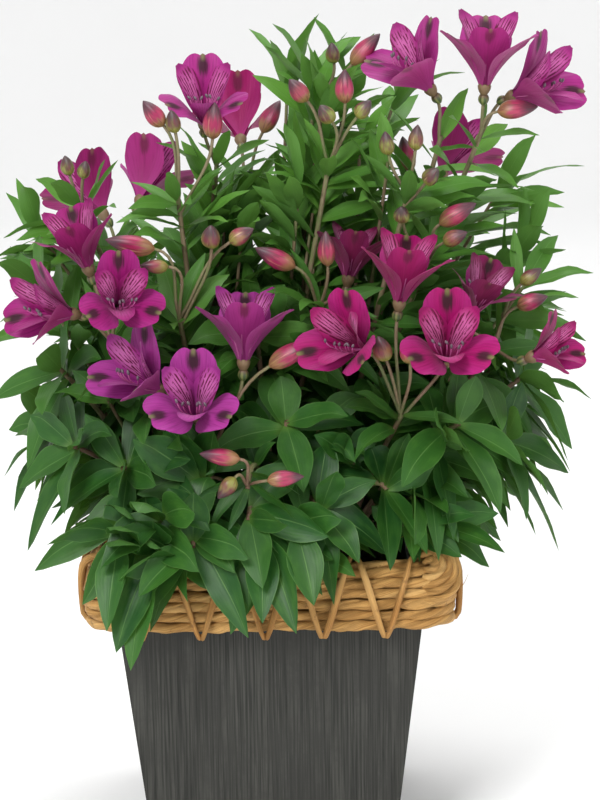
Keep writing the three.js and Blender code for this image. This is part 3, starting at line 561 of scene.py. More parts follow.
def round_rings(middles, radii, sides, twist=0.0, loop=False, ribs=0, rib_depth=0.0):
    """Rings of a tube through middle points, without twist unless it is given in turns."""
    middles = np.asarray(middles, float)
    count = len(middles)
    radii = np.broadcast_to(np.asarray(radii, float), (count,))
    if loop:
        along = np.roll(middles, -1, axis=0) - np.roll(middles, 1, axis=0)
    else:
        along = np.gradient(middles, axis=0)
    along /= np.linalg.norm(along, axis=1, keepdims=True)
    e1 = crossways(along[0])[0]
    angles = FULL_TURN * np.arange(sides) / sides
    rings = np.empty((count, sides, 3))
    for i in range(count):
        e1 = unit(e1 - along[i] * np.dot(e1, along[i]))
        e2 = np.cross(along[i], e1)
        turn = angles + twist * 2 * math.pi * i / max(1, count - 1)
        reach = radii[i] * (1 + rib_depth * np.cos(ribs * angles))
        rings[i] = middles[i] + np.outer(reach * np.cos(turn), e1) + np.outer(reach * np.sin(turn), e2)
    return rings


# Shader graphs

class Field:
    """A value that varies over a surface, read from a shader node, with sums and products."""

    def __init__(self, graph, socket):
        self.graph = graph
        self.socket = socket

    def __add__(self, other):
        return self.graph.math("ADD", self, other)

    def __sub__(self, other):
        return self.graph.math("SUBTRACT", self, other)

    def __mul__(self, other):
        return self.graph.math("MULTIPLY", self, other)

    def __pow__(self, other):
        return self.graph.math("POWER", self, other)

    def __abs__(self):
        return self.graph.math("ABSOLUTE", self)

    def through(self, operation):
        """The field through a function of one value, such as SINE."""
        return self.graph.math(operation, self)

    def span(self, low, high, to_low=0.0, to_high=1.0):
        """A smooth step from to_low at low to to_high at high."""
        inputs = {0: self, 1: low, 2: high, 3: to_low, 4: to_high}
        return self.graph.node("MapRange", inputs, interpolation_type="SMOOTHSTEP")


class Graph:
    """The shader nodes of one material, wired as they are made."""

    def __init__(self, name):
        self.material = bpy.data.materials.new(name)
        self.material.use_nodes = True
        self.tree = self.material.node_tree
        self.tree.nodes.clear()

    def node(self, kind, inputs=None, output=0, **settings):
        """A new node's output, as a field."""
        node = self.tree.nodes.new("ShaderNode" + kind)
        for key, value in settings.items():
            setattr(node, key, value)
        for key, value in (inputs or {}).items():
            self.plug(node.inputs[key], value)
        return Field(self, node.outputs[output]) if node.outputs else None

    def plug(self, socket, value):
        if isinstance(value, Field):
            self.tree.links.new(value.socket, socket)
        elif isinstance(value, tuple) and len(value) == 3 and socket.type == "RGBA":
            socket.default_value = (*value, 1.0)
        else:
            socket.default_value = value

    def parts(self, kind, value):
        """The three parts of a vector or a colour."""
        first = self.node("Separate" + kind, {0: value})
        return [Field(self, socket) for socket in first.socket.node.outputs]

    def math(self, operation, a, b=0.0):
        return self.node("Math", {0: a, 1: b}, operation=operation)

    def mix(self, share, a, b):
        return self.node("Mix", {0: share, 6: a, 7: b}, output=2, data_type="RGBA")

    def layers(self, colour, *coats):
        """A colour with others laid over it in turn, each as (share, colour)."""
        for share, coat in coats:
            colour = self.mix(share, colour, coat)
        return colour

    def place(self):
        """u along a blade or strand, and v across it."""
        return self.parts("XYZ", self.node("UVMap", uv_map="place"))[:2]

    def tone(self):
        """The three numbers that a mesh carries at each point."""
        return self.parts("Color", self.node("VertexColor", layer_name="tone"))

    def backfacing(self):
        return self.node("NewGeometry", output="Backfacing")

    def at(self, x, y, z=0.0):
        return self.node("CombineXYZ", {0: x, 1: y, 2: z})

    def stretched(self, x=1, y=1, z=1):
        """The object's own coordinates, scaled on each axis."""
        place = self.node("TexCoord", output="Object")
        return self.node("Mapping", {"Vector": place, "Scale": (x, y, z)})

    def noise(self, where, scale, detail=3.0, rough=0.55):
        return self.node("TexNoise", {"Vector": where, "Scale": scale, "Detail": detail, "Roughness": rough})

    def bump(self, height, strength, distance):
        return self.node("Bump", {"Height": height, "Strength": strength, "Distance": distance})

    def surface(self, colour, rough, specular=0.5, bump=None, glow=None, glow_share=0.0, **more):
        """The shaded surface: bump is (height, strength, distance), and glow the light let through it."""
        inputs = {"Base Color": colour, "Roughness": rough, "Specular IOR Level": specular, **more}
        if bump:
            inputs["Normal"] = self.bump(*bump)
        shader = self.node("BsdfPrincipled", inputs)
        if glow is not None:
            through = self.node("BsdfTranslucent", {"Color": glow})
            shader = self.node("MixShader", {0: glow_share, 1: shader, 2: through})
        self.node("OutputMaterial", {0: shader})
        return self.material


# Blades: leaves and petals, on the same middle lines as the solids

def half_width(b, u):
    """A blade's half width at u, 0 at its root and 1 at its tip."""
    u = np.asarray(u, float)
    rise = np.sin(math.pi / 2 * np.minimum(1.0, u / b["widest"])) ** b["rise"]
    past = np.maximum(0.0, (u - b["widest"]) / (1 - b["widest"]))
    fall = np.maximum(0.0, np.cos(math.pi / 2 * past)) ** b["fall"]
    return b["stalk"] + (b["width"] - b["stalk"]) * np.minimum(rise, fall)


def blade_frame(b, u):
    """The middle line at u, and the directions across the blade and up from it."""
    u = np.asarray(u, float)[..., None]
    middle = b["root"] + b["dir"] * (b["length"] * u) + b["bow"] * (b["length"] * u * u)
    along = b["dir"] + b["bow"] * (2 * u)
    along = along / np.linalg.norm(along, axis=-1, keepdims=True)
    side = turned_about(unit(np.cross(b["dir"], b["face"])), b["dir"], b["roll"])
    side = np.broadcast_to(side, along.shape)
    over = np.cross(side, along)
    return middle, side, over / np.linalg.norm(over, axis=-1, keepdims=True)


def blade_points(b, u, v):
    """Points of the plain blade at all pairs of u and v."""
    middle, side, over = blade_frame(b, u)
    half = half_width(b, u)[:, None, None]
    v = np.asarray(v, float)[None, :, None]
    points = middle[:, None] + side[:, None] * v * half + over[:, None] * (b["fold"] * np.abs(v) * half)
    return points.reshape(-1, 3)


class Room:
    """What is already placed: points with a radius, a stem and a clump for each, sorted into cells."""

    def __init__(self):
        self.cells = {}
        self.names = {}
        self.fronts = []

    def number(self, name):
        return self.names.setdefault(name, len(self.names))

    def claim(self, at, radius, stem, node):
        marks = [radius, self.number(stem), self.number(node)]
        for p, cell in zip(at.tolist(), np.floor(at / ROOM_CELL).astype(int).tolist()):
            self.cells.setdefault(tuple(cell), []).append(p + marks)

    def near(self, at):
        """The placed points in the cells that these points reach."""
        low = np.floor((at.min(axis=0) - ROOM_REACH) / ROOM_CELL).astype(int)
        high = np.floor((at.max(axis=0) + ROOM_REACH) / ROOM_CELL).astype(int)
        found = []
        for cell in itertools.product(*(range(a, b + 1) for a, b in zip(low, high))):
            found += self.cells.get(cell, ())
        return np.array(found).reshape(-1, 6)

    def is_clear(self, at, stem, node, least=CLEARANCE, own_least=OWN_CLEARANCE):
        reach = np.maximum(np.abs(at[:, 0]), np.abs(at[:, 1]))
        beside = (reach > RIM_ROOM["inner"]) & (reach < RIM_ROOM["outer"])
        if (beside & (at[:, 2] > RIM_ROOM["low"]) & (at[:, 2] < RIM_ROOM["high"])).any():
            return False
        if ((at[:, 2] < SOIL_TOP + SOIL_ROOM) & (reach < RIM_ROOM["outer"])).any():
            return False
        placed = self.near(at)
        placed = placed[placed[:, 4] != self.number(stem)]
        if not len(placed):
            return True
        gaps = ((placed[:, None, :3] - at[None]) ** 2).sum(axis=2).min(axis=1)
        limit = np.where(placed[:, 5] == self.number(node), own_least, least) + placed[:, 3]
        return not (gaps < limit**2).any()

    def hides_a_front(self, at):
        """Whether points lie before a flower or a large bud, as seen from the front."""
        centres = np.array([centre for centre, _ in self.fronts])
        radii = np.array([radius for _, radius in self.fronts])
        off = at[None] - centres[:, None]
        far = off @ TOWARDS_CAMERA
        aside = (off**2).sum(axis=2) - far**2
        return bool(((far > BEFORE_FRONT) & (aside < radii[:, None] ** 2)).any())


def samples_of_blade(b):
    return blade_points(b, BLADE_SAMPLES, BLADE_SAMPLE_SIDES)


def samples_of_stalk(points):
    count = math.ceil(np.linalg.norm(points[3] - points[0]) / STALK_SAMPLE_STEP)
    return bezier(points, (np.arange(count) + 1) / count)


def stem_middle(points, t):
    """The middle of the faceted stem of the solids at t."""
    runs = len(STEM_RADII) - 1
    i = min(int(t * runs), runs - 1)
    a, b = bezier(points, i / runs), bezier(points, (i + 1) / runs)
    return a + (b - a) * (t * runs - i)


def facing_at(points, t, lean):
    """The way a leaf's upper side turns: along its stem, and out from the plant's middle and up."""
    at = bezier(points, t)
    out = unit(np.array([at[0], at[1], 0.0])) * 0.8 + UP * 0.6
    along = bezier_tangent(points, t)
    return unit(along + (out - along) * lean)


def leaf_blade(points, t, axis, spread, turn, shape):
    """A leaf whose root is at t, `spread` degrees from its axis and `turn` round it."""
    e1, e2 = crossways(axis)
    angle = math.radians(spread)
    heading = e1 * math.cos(turn) + e2 * math.sin(turn)
    direction = axis * math.cos(angle) + heading * math.sin(angle)
    coarse = stem_middle(points, t)
    return {
        "root": coarse - direction * ROOT_DEPTH, "dir": direction, "face": axis,
        "shift": bezier(points, t) - coarse, "rise": 1.0, "fall": 0.8, "stalk": LEAF_STALK,
        "fold": LEAF_FOLD,
        **shape,
    }


def drawn_leaf(draw, rule, share, size, ranges, spread=None):
    """A leaf's spread in degrees and its shape, drawn about its rule."""
    shape = {
        "length": mix(rule["length"], share) * size * draw.over(*ranges["length"]),
        "width": mix(rule["width"], share) * size * draw.over(*ranges["width"]),
        "widest": rule["widest"],
    }
    spread = (mix(rule["spread"], share) if spread is None else spread) + draw.spread(LEAF_SPREAD)
    shape["bow"] = -UP * (mix(rule["droop"], share) * draw.over(*ranges["droop"]))
    shape["roll"] = draw.spread(ranges["roll"])
    return spread, shape


def leaves(room, points, rule, count, size, span, seed, stem, node):
    """The solids' own leaves along a stem, each turned until it is clear."""
    made = []
    for i in range(count):
        share = i / (count - 1) if count > 1 else 1.0
        draw = Draws(seed * 977 + i * 131)
        t = mix(span, share)
        axis = facing_at(points, t, rule["lean"])
        spread, shape = drawn_leaf(draw, rule, share, size, LEAF_RANGES)
        turn = seed * 1.7 + i * GOLDEN_ANGLE + draw.spread(0.2)
        for attempt in range(LEAF_TRIES):
            swing = math.ceil(attempt / 2) * (SWING if attempt % 2 else -SWING)
            leaf = leaf_blade(points, t, axis, spread - 5 * (attempt // 3), turn + swing, shape)
            samples = samples_of_blade(leaf)
            if room.is_clear(samples, stem, node):
                room.claim(samples, 0.0, f"{stem}_{span[0]}_{i}", node)
                made.append(leaf)
                break
    return made


def petals(base, facing, size):
    """A flower's six petals: three broad outer ones, and three inner ones, of which two stand up."""
    axis = unit(facing)
    back = np.array([0.0, 1.0, 0.0]) if abs(axis[2]) > UPRIGHT else UP
    high = unit(back - axis * np.dot(axis, back))
    left = np.cross(high, axis)

    def petal(degrees, length, width, flare, depth, shape):
        a = math.radians(degrees)
        out = high * math.cos(a) + left * math.sin(a)
        return {
            "root": base + axis * 0.003 + out * depth, "dir": axis * 0.97 + out * 0.13,
            "bow": out * flare - axis * (0.42 * flare), "face": axis, "length": size * length,
            "width": size * width, "roll": 0.0, "stalk": 0.0014, **shape,
        }

    outer = {"widest": 0.74, "rise": 2.4, "fall": 0.5, "fold": -0.1}
    inner = {"widest": 0.7, "rise": 2.2, "fall": 0.7, "fold": 0.1}
    # each at its angle round the axis, with its length and half width in flower sizes
    return {
        "outer": [petal(a, 0.98, 0.25, 0.44, 0.0024, outer) for a in (0, 122, -122)],
        "inner": [petal(a, 1.0, 0.13, 0.24, 0.0018, inner) for a in (52, -52, 180)],
        "axis": axis, "high": high, "left": left,
    }


def stem_curve(foot, tip, lift):
    """A stem's curve: it leaves the soil by its foot, rises steeply and arches over to its tip."""
    end = np.array(tip, float)
    start = np.array([foot[0], foot[1], SOIL_TOP + 0.002])
    away = end - start
    away[2] = 0.0
    start = start + unit(away) * 0.002
    rise = end[2] - start[2]
    first = start + (end - start) * 0.12
    first[2] = start[2] + rise * 0.4 + lift * 0.8
    second = start + (end - start) * 0.68
    second[2] = start[2] + rise * 0.72 + lift
    return [start, first, second, end]


def stalk_curve(stem, leave, base, facing):
    start = stem_middle(stem, leave)
    far = np.linalg.norm(base - start)
    return [start, start + (base - start) * 0.4, base - facing * (far * 0.35), base]


def lay_out_head(room, plan, curve, stem, numbers, head):
    """A flower or a bud on its stalk, in the same place as in the solids."""
    kind, at, way, size, last = head
    c, s, h = numbers
    base, facing = np.array(at, float), unit(np.array(way, float))
    line = stalk_curve(curve, FIRST_HEAD - HEAD_STEP * (h % 3), base, facing)
    room.claim(samples_of_stalk(line), STALK_ROOM, stem, plan["name"])
    made = {"line": line, "base": base, "facing": facing, "size": size, "seed": c * 100 + s * 10 + h}
    if kind == "bloom":
        node = f"bloom_{c + 1}_{s + 1}_{h + 1}"
        plan["blooms"].append({**made, "name": node, "shade": last})
        both = petals(base, facing, size)
        for b in both["outer"] + both["inner"]:
            room.claim(samples_of_blade(b), 0.0, node, node)
        room.fronts.append((base + facing * size * 0.6, size * 0.55))
    else:
        plan["buds"].append({**made, "radius": last})
        spots = np.array([base + facing * size * share for share in (0.3, 0.6)])
        room.claim(spots, last * 0.9, stem, plan["name"])
        room.fronts.append((base + facing * size * 0.5, size * 0.4))


def lay_out(room):
    """All stems, heads and leaves of the solids, in the same places."""
    plans = []
    for c, (name, foot, stems) in enumerate(CLUMPS):
        plan = {"name": name, "stems": [], "buds": [], "blooms": [], "leaves": [], "shoots": []}
        for s, (tip, lift, _, heads) in enumerate(stems):
            stem = f"{name}_{s}"
            curve = stem_curve(foot, tip, lift)
            plan["stems"].append(curve)
            room.claim(samples_of_stalk(curve), STEM_ROOM, stem, name)
            for h, head in enumerate(heads):
                lay_out_head(room, plan, curve, stem, (c, s, h), head)
        plans.append(plan)
    for c, (name, _, stems) in enumerate(CLUMPS):
        own = plans[c]["leaves"]
        for s, (_, _, (low, low_count, top, top_count, size), _) in enumerate(stems):
            stem, curve, seed = f"{name}_{s}", plans[c]["stems"][s], c * 10 + s + 1
            own += leaves(room, curve, RULES[top], top_count, size, TOP_SPAN, seed, stem, name)
            own += leaves(room, curve, RULES[low], low_count, size, LOW_SPAN, seed + LOW_SEED, stem, name)
    return plans


# Small leaves and shoots between those of the solids

def fill_leaf(room, curve, t, rule, size, seed, stem, node, spread=None):
    """One more leaf at t, where there is room for it and it hides no flower."""
    draw = Draws(seed)
    axis = facing_at(curve, t, rule["lean"])
    spread, shape = drawn_leaf(draw, rule, draw(), size, FILL_RANGES, spread)
    shape["small"] = True
    turn = FULL_TURN * draw()
    for attempt in range(FILL_TRIES):
        leaf = leaf_blade(curve, t, axis, spread - 3 * attempt, turn + 0.9 * attempt, shape)
        samples = blade_points(leaf, FILL_SAMPLES, FILL_SAMPLE_SIDES)
        if room.hides_a_front(samples) or not inside_reach(samples):
            continue
        if room.is_clear(samples, stem, node, FILL_CLEARANCE, FILL_CLEARANCE):
            room.claim(samples, 0.0, f"{stem}_fill_{seed}", node)
            return leaf
    return None


def inside_reach(samples):
    low, high = np.array(cad_box[0]), np.array(cad_box[1])
    return bool(np.all(samples > low - FILL_REACH) and np.all(samples < high + FILL_REACH))


def fill_stems(room, plans):
    """More leaves low on the stems of the solids, and up between their own leaves."""
    for c, ((_, _, stems), plan) in enumerate(zip(CLUMPS, plans)):
        name = plan["name"]
        for s, (tip, _, (low, _, _, _, size), _) in enumerate(stems):
            narrow = tip[2] > NARROW_FROM
            rule = RULES["ascending" if narrow else low]
            count = STEM_FILL * (NARROW_FILL if narrow else 1)
            seed = STEM_FILL_SEED + c * 1000 + s * 100
            for i in range(count):
                t = STEM_FILL_FROM + STEM_FILL_RUN * (i + 0.5) / count
                stem = plan["stems"][s]
                leaf = fill_leaf(room, stem, t, rule, size * 0.9, seed + i, f"{name}_{s}", name)
                if leaf:
                    plan["leaves"].append(leaf)


def fill_shoots(room, plans):
    """Leafy shoots between the main stems, deeper in the plant than their tips."""
    for c, ((_, foot, stems), plan) in enumerate(zip(CLUMPS, plans)):
        for s, (tip, lift, _, _) in enumerate(stems):
            for k in range(FILL_SHOOTS):
                seed = SHOOT_SEED + c * 2000 + s * 400 + k * 40
                draw = Draws(seed)
                turn = draw.spread(0.5)
                near = draw.over(0.35, 0.62)
                x, y = tip[0] * near, tip[1] * near
                high = SOIL_TOP + (tip[2] - SOIL_TOP) * draw.over(0.38, 0.62)
                cos, sin = math.cos(turn), math.sin(turn)
                grow_shoot(room, plan, foot, [x * cos - y * sin, x * sin + y * cos, high], lift * 0.6, seed)
    by_hand = [(DRAPED_SHOOTS, DRAPED_SEED, "draped"), (UPPER_SHOOTS, UPPER_SEED, None)]
    for shoots, first_seed, rule in by_hand:
        for k, (end, lift) in enumerate(shoots):
            c = nearest_clump(end)
            grow_shoot(room, plans[c], CLUMPS[c][1], end, lift, first_seed + 60 * k, rule)


def nearest_clump(end):
    """The number of the clump with the stem tip that is nearest to a point."""
    far = [min(math.dist(end, stem[0]) for stem in stems) for _, _, stems in CLUMPS]
    return far.index(min(far))


def grow_shoot(room, plan, foot, end, lift, seed, rule=None):
    """One small shoot with as many leaves as have room; it is kept where it has enough."""
    draw = Draws(seed + 7)
    curve = stem_curve(foot, end, lift)
    narrow = end[2] > NARROW_FROM
    size = 0.95 if narrow or rule else draw.over(0.75, 0.35)
    rule = RULES[rule or ("ascending" if narrow else "rosette")]
    count = SHOOT_LEAVES + (NARROW_LEAVES if narrow else 0)
    name = plan["name"]
    made = []
    at_tip = 0
    for i in range(count):
        t = 0.99 - 0.5 * (i / count) ** 1.3
        spread = (NARROW_SPREAD if narrow else SHOOT_SPREAD) + SPREAD_GAIN * (i / count)
        leaf = fill_leaf(room, curve, t, rule, size, seed + i, f"{name}_shoot_{seed}", name, spread)
        if leaf:
            made.append(leaf)
            at_tip += i < TIP_LEAVES
    if len(made) >= FEWEST_LEAVES + (2 if narrow else 0) and at_tip >= FEWEST_AT_TIP:
        plan["shoots"].append(curve)
        plan["leaves"] += made


# Foliage and flowers as fine meshes

def blade_grid(b, rows, columns, curl=0.0, wave=0.0, waves=2.0, twist=0.0, hook=0.0, phase=0.0):
    """A blade as a grid of points: gently curled, waved at its edges, twisted and hooked at its tip."""
    u = np.linspace(0.0, 1.0, rows + 1)
    v = np.linspace(-1.0, 1.0, columns + 1)
    middle, side, over = blade_frame(b, u)
    middle = middle + b["shift"] * ((1 - u) ** 3)[:, None]
    middle = middle - UP * (hook * b["length"] * smooth(0.62, 1.0, u) ** 2)[:, None]
    angle = (twist * u)[:, None]
    side, over = side * np.cos(angle) + over * np.sin(angle), over * np.cos(angle) - side * np.sin(angle)
    half = half_width(b, u) * (1 - 0.85 * smooth(0.92, 1.0, u))
    ripple = wave * np.sin(2 * math.pi * waves * u[:, None] + phase + 1.7 * (v[None] > 0)) * v[None] ** 2
    lift = b["fold"] * np.abs(v)[None] + curl * v[None] ** 2 + ripple
    grid = middle[:, None] + side[:, None] * (v[None] * half[:, None])[..., None]
    grid = grid + over[:, None] * (lift * half[:, None])[..., None]
    return grid, np.stack(np.broadcast_arrays(u[:, None], (v[None] + 1) / 2), axis=-1)


def leaf_sheet(bag, leaf, seed):
    draw = Draws(seed)
    rows, columns = SMALL_LEAF_GRID if leaf.get("small") else LEAF_GRID
    narrow = leaf["width"] < NARROW_WIDTH
    shape = {**leaf, "fall": NARROW_TAPER if narrow else BROAD_TAPER}
    grid, places = blade_grid(
        shape, rows, columns, curl=0.1 + draw.spread(0.14), wave=draw.over(0.05, 0.09),
        waves=draw.over(1.2, 1.3), twist=draw.spread(NARROW_TWIST if narrow else BROAD_TWIST),
        hook=draw.over(0.02, 0.07), phase=6.3 * draw(),
    )
    # paler higher up: partly youth, partly painted light on top and painted shade lower down
    youth_and_painted_light = float(smooth(*YOUTH_AND_PAINTED_LIGHT_HEIGHTS, leaf["root"][2])) * 0.8 + 0.2 * draw()
    bag.sheet(grid, places, (draw(), youth_and_painted_light, draw()))


def petal_fan(b, rows, columns, reach, notch, ruffle, cup, phase):
    """A petal that widens to a rounded end: rows reach further out in the middle than at the edges."""
    u = np.linspace(0.0, 1.0, rows + 1)
    v = np.linspace(-1.0, 1.0, columns + 1)
    ends = reach + (1 - reach) * (1 - np.abs(v) ** 2.3) ** (1 / 2.1)
    ends = ends - notch * np.exp(-(v / 0.24) ** 2) + 0.55 * notch * np.exp(-(v / 0.07) ** 2)
    s = u[:, None] * ends[None]
    middle, side, over = blade_frame(b, s)
    claw = np.sin(math.pi / 2 * np.minimum(1.0, u)) ** b["rise"]
    half = b["stalk"] + (b["width"] - b["stalk"]) * claw
    across = (v[None] * half[:, None])[..., None]
    wave = np.sin(5.2 * v[None] + 7.0 * s + phase) + 0.5 * np.sin(11.0 * v[None] + 5.0 * s + 2.1 * phase)
    ripple = ruffle * wave * smooth(0.35, 1.0, s) * np.abs(v[None]) ** 1.5
    lift = (b["fold"] * np.abs(v)[None] + cup * v[None] ** 2 + ripple) * half[:, None]
    grid = middle + side * across + over * lift[..., None]
    return grid, np.stack([s, np.broadcast_to((v[None] + 1) / 2, s.shape)], axis=-1)


def rounded(bag, start, axis, length, radii, tone, sides, **ribs):
    """A small turned body along an axis, through evenly spaced radii."""
    middles = start + np.outer(np.linspace(0.0, 1.0, len(radii)) * length, axis)
    bag.tube(round_rings(middles, radii, sides, **ribs), tone)


def stamens(bag, flower, base, size, seed):
    """Filaments that lie along the lower petals and turn up at their ends, with their anthers."""
    axis, high, left = flower["axis"], flower["high"], flower["left"]
    draw = Draws(seed)
    for k in range(FILAMENTS):
        swing = (k - (FILAMENTS - 1) / 2) * 0.0011 + draw.spread(0.0004)
        reach = size * draw.over(0.60, 0.16)
        drop = size * draw.over(0.10, 0.05)
        line = [
            base + axis * 0.004 + left * swing * 0.5,
            base + axis * reach * 0.45 - high * drop * 0.7 + left * swing * 1.4,
            base + axis * reach * 0.85 - high * drop * 1.5 + left * swing * 2.4,
            base + axis * reach - high * drop * 0.6 + left * swing * 3.2,
        ]
        middles = bezier_points(line, 10)
        bag.tube(round_rings(middles, FILAMENT_RADIUS, 5), (0.2, draw(), 0.0))
        way = unit(bezier_tangent(line, 1.0) + left * draw.spread(0.8))
        rounded(bag, middles[-1] - way * 0.0014, way, ANTHER_LENGTH, ANTHER_RADII, (0.9, draw(), 0.0), 6)


def flower_piece(bloom, materials):
    """One open flower: its petals in two kinds, its stamens and the cup that joins them."""
    base, size, seed, shade = bloom["base"], bloom["size"], bloom["seed"], bloom["shade"]
    flower = petals(base, bloom["facing"], size)
    axis = flower["axis"]
    draw = Draws(seed + 31)
    outer, inner, middle = Bag(), Bag(), Bag()
    broad, narrow = flower["outer"], flower["inner"]
    if axis[2] > UPRIGHT:
        # an upright flower turns its lowest petal, as broad as the outer ones, to the front
        lowest = {**narrow[2], "width": narrow[2]["width"] * LOWEST_BREADTH}
        broad, narrow = broad + [lowest], narrow[:2]
    for b in broad:
        b = {**b, "width": b["width"] * OUTER_BREADTH, "rise": 1.7}
        grid, places = petal_fan(b, **OUTER_FAN, phase=6.3 * draw())
        outer.sheet(grid, places, (draw(), draw(), 0.0))
    for k, b in enumerate(narrow):
        b = {**b, "width": b["width"] * INNER_BREADTH, "rise": 1.6}
        grid, places = petal_fan(b, **INNER_FAN, phase=6.3 * draw())
        inner.sheet(grid, places, (draw(), draw(), 1.0 if k < 2 else 0.0))
    rounded(middle, base + axis * 0.0003, axis, CUP_LENGTH, CUP_RADII, (0.0, 0.5, 0.0), 12)
    stamens(middle, flower, base, size, seed)
    slot = "petal_lilac" if shade in LILAC_SHADES else "petal_magenta"
    name = bloom["name"].replace("bloom", "flower")
    outer.piece(f"{name}_outer_petals", materials[f"outer_{shade}"], slot, [bloom["name"]])
    inner.piece(f"{name}_inner_petals", materials[f"inner_{shade}"], slot)
    middle.piece(f"{name}_stamens", materials["stamens"], slot)


def stalk(bag, head, count, radius, sides):
    green = float(smooth(*GREEN_HEIGHTS, head["base"][2]))
    bag.tube(round_rings(bezier_points(head["line"], count), radius, sides), (0.4, green, 0.0))


def pod_body(bag, bloom):
    """A ribbed seed pod under a flower."""
    start = bloom["base"] - bloom["facing"] * (POD_LENGTH + 0.001)
    length = POD_LENGTH + 0.0014
    rounded(bag, start, bloom["facing"], length, POD_RADII, (0.5, 0.5, 1.0), 18, ribs=6, rib_depth=0.09)


def bud_body(bag, bud):
    """A plump bud of three folded petals, drawn out to a point."""
    shares = np.linspace(0.0, 1.0, 15)
    plump = np.sin(math.pi * shares ** 0.72) ** 0.72
    radii = bud["radius"] * BUD_SLIM * np.maximum(plump, 0.16 * (shares < 0.5))
    radii[-1] = BUD_POINT
    draw = Draws(bud["seed"] + 400)
    ripe = float(smooth(*RIPE_LENGTHS, bud["size"]))
    tone = (draw(), ripe, 0.0)
    rounded(bag, bud["base"], bud["facing"], bud["size"], radii, tone, 24, ribs=3, rib_depth=0.075)


def clump_pieces(plan, materials):
    """A clump's leaves, stems, stalks, pods and buds."""
    label = plan["name"].replace("clump_", "")
    blades, stems, pods, buds = Bag(), Bag(), Bag(), Bag()
    for i, leaf in enumerate(plan["leaves"]):
        leaf_sheet(blades, leaf, 300 + i + 1000 * len(label))
    for curve in plan["stems"]:
        middles = bezier_points(curve, 22)
        shares = np.linspace(0, 1, len(STEM_RADII))
        radii = np.interp(np.linspace(0, 1, 22), shares, STEM_RADII) * STEM_SLIM
        tone = np.stack([np.full(22, 0.2), smooth(*GREEN_HEIGHTS, middles[:, 2]), np.zeros(22)], axis=1)
        stems.tube(round_rings(middles, radii, 9), tone)
    for curve in plan["shoots"]:
        rings = round_rings(bezier_points(curve, 14), np.linspace(*SHOOT_RADII, 14), 6)
        stems.tube(rings, (0.3, 0.5, 0.0))
    for bloom in plan["blooms"]:
        stalk(stems, bloom, 12, BLOOM_STALK_RADIUS, 7)
        pod_body(pods, bloom)
    for bud in plan["buds"]:
        stalk(stems, bud, 10, BUD_STALK_RADIUS, 6)
        bud_body(buds, bud)
    blades.piece(f"leaves_{label}", materials["leaf"], "leaf", [plan["name"]])
    stems.piece(f"stems_{label}", materials["stem"], "leaf")
    if plan["blooms"]:
        pods.piece(f"pods_{label}", materials["pod"], "leaf")
    if plan["buds"]:
        buds.piece(f"buds_{label}", materials["bud"], "leaf")


# Rope rim

def quarter(side, x, y):
    """A point of the front side, turned to another side."""
    c, s = SIDE_TURNS[side]
    return [c * x - s * y, s * x + c * y]


def round_square(half, step):
    """Points `step` apart round a square with round corners, and their outward directions."""
    radius = RIM_CORNER + half - ROWS[0][0]
    straight = 2 * (half - radius)
    length = 4 * straight + 2 * math.pi * radius
    count = int(length / step)
    points, outs = np.empty((count, 2)), np.empty((count, 2))
    for i in range(count):
        far = length * i / count
        side, along = int(far // (length / 4)), far % (length / 4)
        if along < straight:
            p, out = np.array([along - straight / 2, -half]), np.array([0.0, -1.0])
        else:
            a = (along - straight) / radius - math.pi / 2
            out = np.array([math.cos(a), math.sin(a)])
            p = np.array([half - radius, radius - half]) + out * radius
        points[i] = quarter(side, *p)
        outs[i] = quarter(side, *out)
    return points, outs, length


def wander(count, seed, waves):
    """A smooth closed wobble between about -1 and 1."""
    draw = Draws(seed)
    t = np.linspace(0, FULL_TURN, count, endpoint=False)
    total = np.zeros(count)
    for wave in waves:
        total += draw.spread(1.0) * np.sin(wave * t + 6.3 * draw()) + draw.spread(1.0) * np.cos(wave * t)
    return total / math.sqrt(len(waves))


def rope_row(row, half, z, material):
    """One row of rope: flat strands that wind round each other at a long pitch."""
    points, outs, length = round_square(half, ROPE_STEP)
    count = len(points)
    bag = Bag()
    middle = np.empty((count, 3))
    sway = wander(count, ROPE_SEEDS["sway"] + row, [3, 5, 8, 13, 29]) * ROW_SWAY
    middle[:, :2] = points + outs * sway[:, None]
    middle[:, 2] = z + wander(count, ROPE_SEEDS["lift"] + row, [2, 5, 9, 15, 33]) * ROW_LIFT
    out = np.concatenate([outs, np.zeros((count, 1))], axis=1)
    winds = round(length / ROPE_PITCH) + row % 2
    angles = FULL_TURN * np.arange(STRAND_SIDES) / STRAND_SIDES
    for strand in range(ROPE_STRANDS):
        seed = row * 10 + strand
        drift = wander(count, ROPE_SEEDS["drift"] + seed, [4, 7, 11]) * 0.35
        turned = winds * np.arange(count) / count + strand / ROPE_STRANDS
        phase = FULL_TURN * turned + row * 1.3 + drift
        uneven = wander(count, ROPE_SEEDS["swell"] + seed, [6, 13, 22, 31, 57])
        swell = 1 + 0.2 * np.clip(uneven, -1.6, 1.6)
        offset = out * np.cos(phase)[:, None] + UP * np.sin(phase)[:, None]
        centre = middle + offset * (ROPE_RADIUS * STRAND_OFFSET)
        along = np.roll(centre, -1, axis=0) - np.roll(centre, 1, axis=0)
        along /= np.linalg.norm(along, axis=1, keepdims=True)
        across = np.cross(along, offset)
        flat, wide = ROPE_RADIUS * STRAND_FLAT * swell, ROPE_RADIUS * STRAND_WIDE * swell
        rings = (
            centre[:, None]
            + offset[:, None] * (flat[:, None] * np.cos(angles))[..., None]
            + across[:, None] * (wide[:, None] * np.sin(angles))[..., None]
        )
        draw = Draws(ROPE_SEEDS["tone"] + seed)
        bag.tube(rings, (draw(), row / len(ROWS), draw()), loop=True, turns=length)
    bag.piece(f"rope_strands_{row + 1}", material, "rope", [f"rope_row_{row + 1}"])


